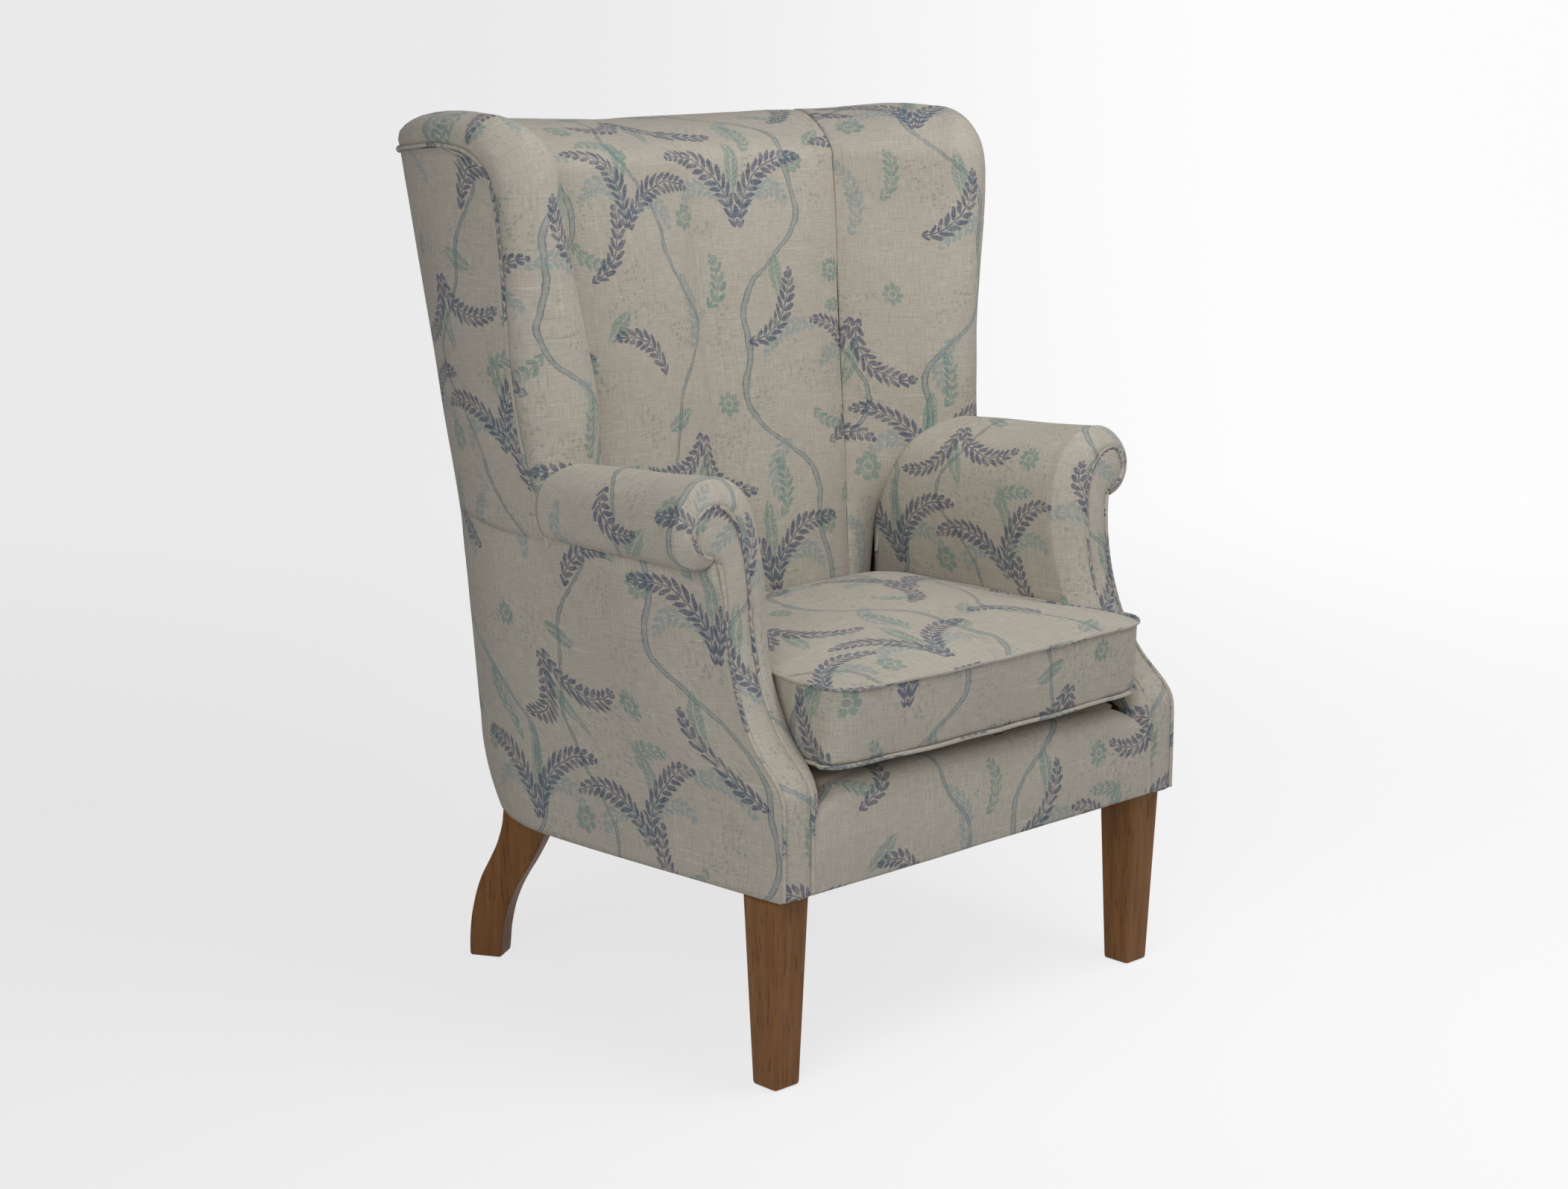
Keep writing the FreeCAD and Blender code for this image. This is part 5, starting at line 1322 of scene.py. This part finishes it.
def box_map(mesh):
    """Cloth map by the way each face looks: panels from above, border from front or side."""
    normal = np.empty(len(mesh.polygons) * 3)
    mesh.polygons.foreach_get("normal", normal)
    normal = np.abs(normal.reshape(-1, 3))
    total = np.empty(len(mesh.polygons), np.int32)
    mesh.polygons.foreach_get("loop_total", total)
    corner = np.empty(len(mesh.loops), np.int32)
    mesh.loops.foreach_get("vertex_index", corner)
    points = coordinates(mesh)[corner]
    way = np.repeat(normal, total, 0)
    top = way[:, 2] > .62
    side = ~top & (way[:, 0] > way[:, 1])
    border = np.where(side[:, None], points[:, [1, 2]] + [.07, .19],
                      points[:, [0, 2]] + [.22, .05])
    cloth = np.where(top[:, None], points[:, :2] + [.13, .37], border)
    layer = mesh.uv_layers.get("cloth") or mesh.uv_layers.new(name="cloth")
    layer.data.foreach_set("uv", cloth.astype(np.float32).reshape(-1))


cushion = piece("cushion_cover_cloth", [(form, map_of(form[..., 0], form[..., 1]), True)],
                merge=0.0004, body="cushion")
mesh, rest = blow_up(cushion)
full = .4715 + .0095 * ease((rest[:, 1] + .28) / .25)
rest[:, 2] -= np.clip(rest[:, 2] - full, 0, 1) * .7
rest[:, 2] = np.maximum(rest[:, 2], .3455)
mesh.vertices.foreach_set("co", rest.reshape(-1))
mesh.update()
fine = cushion.modifiers.new("fine", "SUBSURF")
fine.levels = fine.render_levels = 1
ready = settled(cushion)
box_map(ready)
ready.materials.clear()
declare(cushion, ["cushion_cover", "cushion_core"], 0.85)
print("cushion faces", len(ready.polygons))

# %% Cushion piping
cords = []
for z in (LOW, HIGH):
    ring = cushion_plan(z, 400, inset=-0.0012)
    ring[:, 2] += .0006 * np.sin(np.arange(len(ring)) * .23)
    cords.append(tube(ring, CORD, side=(0, 0, 1), close=True, turn=1.1))
cushion_cord = piece("cushion_cord", cords, body="cushion")
declare(cushion_cord, ["cushion_piping"], slot="fabric_piping")

# %% [markdown]
# ## Legs
# Front legs are straight and taper to the foot, rear legs sweep back like a sabre. Both have
# softly broken edges, which catch the light, so each is a rounded square carried up a line.

# %% Rounded square sections
LEG_TOP = .2215             # underside of the seat frame


def rounded_square(count, square):
    """Superellipse: cosine and sine raised to a small power, so sides are flat and edges round."""
    t = np.linspace(0, 2 * np.pi, count, endpoint=False) + np.pi / count
    c, s = np.cos(t), np.sin(t)
    return np.sign(c) * np.abs(c) ** square, np.sign(s) * np.abs(s) ** square


def leg_rows(count):
    """Heights of a leg's sections and their shrinking: closed and softly broken at the foot,
    closed at the top."""
    z = np.concatenate([[.002, .002, .0032], np.linspace(.006, LEG_TOP, count), [LEG_TOP]])
    shrink = np.ones(len(z))
    shrink[:3], shrink[-1] = (0, .955, .985), 0
    return z[:, None], shrink[:, None]


def leg_pair(kind, points, **shape):
    """Two stained legs, with their cloth map laid on the front view."""
    grids = [(points, map_of(points[..., 0], points[..., 2]), True)]
    pair_of(kind + "_leg_wood_", kind + "_leg_", lambda side: grids, material=stained_oak,
            slot="stained_wood", merge=0.00005, **shape)


sx, sy = rounded_square(56, 0.16)
z, shrink = leg_rows(24)
size = (36.7 + (52 - 36.7) * z / LEG_TOP) / 2000 * shrink   # from 36.7 mm at the foot to 52 mm
leg_pair("front", stack(.2941 + size * sx, -.3073 + size * sy, z))

# %% Rear legs
REAR = np.array([[0, .0407], [.0175, .0407], [.0336, .0398], [.0529, .0376], [.0707, .0340],
                 [.0902, .0287], [.1064, .0226], [.1181, .0166], [.1328, .0091], [.1458, .0031],
                 [.1588, -.0012], [.1731, -.0048], [.1857, -.0061], [.2215, -.0100]])
FORE = np.array([[0, 0], [.0184, -.0017], [.0329, -.0031], [.0474, -.0059], [.0620, -.0094],
                 [.0767, -.0146], [.0914, -.0213], [.1064, -.0297], [.1196, -.0380],
                 [.1345, -.0463], [.1507, -.0546], [.1635, -.0600], [.2215, -.0750]])
z, shrink = leg_rows(34)
rear_s, fore_s = smooth(*REAR.T, z), smooth(*FORE.T, z)
s_along = (rear_s + fore_s) / 2 + (rear_s - fore_s) / 2 * shrink * sx
s_across = -.018 + .018 * shrink * sy
run_way, side_way, start = (.509, .861), (.861, -.509), (.2616, .2183)
leg_pair("rear", stack(start[0] + s_along * run_way[0] + s_across * side_way[0],
                       start[1] + s_along * run_way[1] + s_across * side_way[1], z), flip=True)

# %% [markdown]
# ## Dust cover
# A thin black cloth is stapled under the seat frame.

# %% Dust cover
dust_low, dust_high = (np.array(corner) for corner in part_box("dust_cover"))
y = np.linspace(dust_low[1], dust_high[1], 40)[:, None]
inside = side_x(y, np.full_like(y, LEG_TOP))
wide = np.where(y < 0, dust_high[0], inside - (.35 - dust_high[0]) + .004)
wide = np.minimum(np.minimum(wide, inside - .012), dust_high[0])
dust = stack(np.linspace(-1, 1, 40)[None] * wide, y, .2209)
cover = piece("dust_cloth_sheet", [(dust, map_of(dust[..., 0], dust[..., 1]), False)], wall=0.0006)
declare(cover, ["dust_cover"], material=dust_cloth, slot="dust_cloth")

# %% [markdown]
# ## Studio
# The chair stands on a pale floor that runs into a pale wall. Soft lamps light it from the
# front and above. The camera sees the floor mostly as a painted glow of near-white light,
# lighter to the right and further back, which also keeps the chair's shadow on it faint, so
# the lamps can stay at a plain level.

# %% Floor and lamps
AZIMUTH, ELEVATION = math.radians(43.5586), math.radians(12.1384)
WORLD_LEVEL = 0.04
# Name, place, aimed point, width and depth, power in watts.
LAMPS = [("key", (0.9, -3.4, 1.9), (0, 0, .6), (2.6, 2.0), 14),
         ("fill", (-3.0, -1.6, 1.9), (0, 0, .5), (2.4, 2.0), 46),
         ("top", (0, -.4, 3.4), (0, 0, 0), (3.0, 3.0), 19),
         ("right", (3.2, -1.2, 1.8), (0, 0, .5), (2.4, 2.0), 17),
         ("over", (.15, -.85, 1.8), (.05, 0, .5), (0.9, 0.9), 8)]


def put(name, data):
    """Add an object to the scene."""
    thing = bpy.data.objects.new(name, data)
    bpy.context.scene.collection.objects.link(thing)
    return thing


def backdrop(half=7.0, bend=2.2, wall=3.2, high=6.0):
    """Floor that bends up into a wall, turned to face the camera. The camera and clear
    reflections see it mostly as a painted glow: painted light, lighter to one side and further
    back."""
    floor = bpy.data.meshes.new("floor")
    turn = np.linspace(0, math.pi / 2, 24)
    y = np.concatenate([[-half], wall + bend * np.sin(turn), [wall + bend]])
    z = np.concatenate([[0.0], bend * (1 - np.cos(turn)), [high]])
    x, y, z = np.moveaxis(stack(np.array([-half, half])[None], y[:, None], z[:, None]), -1, 0)
    c, s = math.cos(math.radians(43.6)), math.sin(math.radians(43.6))
    turned = stack(x * c + y * s, y * c - x * s, z)
    floor.from_pydata(turned.reshape(-1, 3).tolist(), [], quads(len(y), 2)[:, ::-1].tolist())
    floor.polygons.foreach_set("use_smooth", np.ones(len(floor.polygons), bool))
    thing = put("floor", floor)
    material, shader = start_material("paper", 0.9)
    shader.inputs["Base Color"].default_value = (*paint(232, 232, 232), 1)
    east, north = axes(Wire.node("ShaderNodeTexCoord", None, 3))
    # Painted light: the glow grows lighter to one side and further back, where the lamps' light
    # would fall.
    side = (east * c - north * s).ramp(-0.95, 1.5)
    away = east * s + north * c
    painted_backdrop_light = blend(away.ramp(0.4, 3.4), blend(side, paint(224, 224, 224), paint(239, 239, 239)),
                 blend(side, paint(234, 234, 234), paint(254, 254, 254)))
    # Painted glow: the backdrop shines with this painted light, though it is no lamp.
    painted_glow = Wire.node("ShaderNodeEmission", None, 0, Color=painted_backdrop_light, Strength=1.35)
    path = Wire.node("ShaderNodeLightPath")
    seen = path.most(Wire(path.socket.node.outputs[3]))
    # Seven tenths painted glow and three tenths lit paper, so the chair's shadow on the floor stays
    # faint.
    mixed = Wire.node("ShaderNodeMixShader", None, 0, i0=seen * 0.70, i1=Wire(shader.outputs[0]),
                      i2=painted_glow)
    Wire.join(material.node_tree.nodes["Material Output"].inputs["Surface"], mixed)
    floor.materials.append(material)


backdrop()
for name, place, aim, size, power in LAMPS:
    light = bpy.data.lights.new(name, "AREA")
    light.shape, light.size, light.size_y = "RECTANGLE", size[0], size[1]
    light.energy = power
    lamp = put(name, light)
    lamp.location = place
    lamp.rotation_euler = (Vector(aim) - Vector(place)).to_track_quat("-Z", "Y").to_euler()
world = bpy.data.worlds.new("studio")
world.use_nodes = True
background = world.node_tree.nodes["Background"]
background.inputs[0].default_value = (1, 1, 1, 1)
background.inputs[1].default_value = WORLD_LEVEL
bpy.context.scene.world = world

# %% Camera
camera = bpy.data.cameras.new("camera")
camera.lens, camera.sensor_width = 64.07, 36.0
eye = put("camera", camera)
away = Vector((-math.sin(AZIMUTH) * math.cos(ELEVATION), -math.cos(AZIMUTH) * math.cos(ELEVATION),
               math.sin(ELEVATION)))
eye.location = (-2.2490, -2.3757, 1.1557)
eye.rotation_euler = away.to_track_quat("Z", "Y").to_euler()
bpy.context.scene.camera = eye
bpy.context.scene.view_settings.view_transform = "Standard"
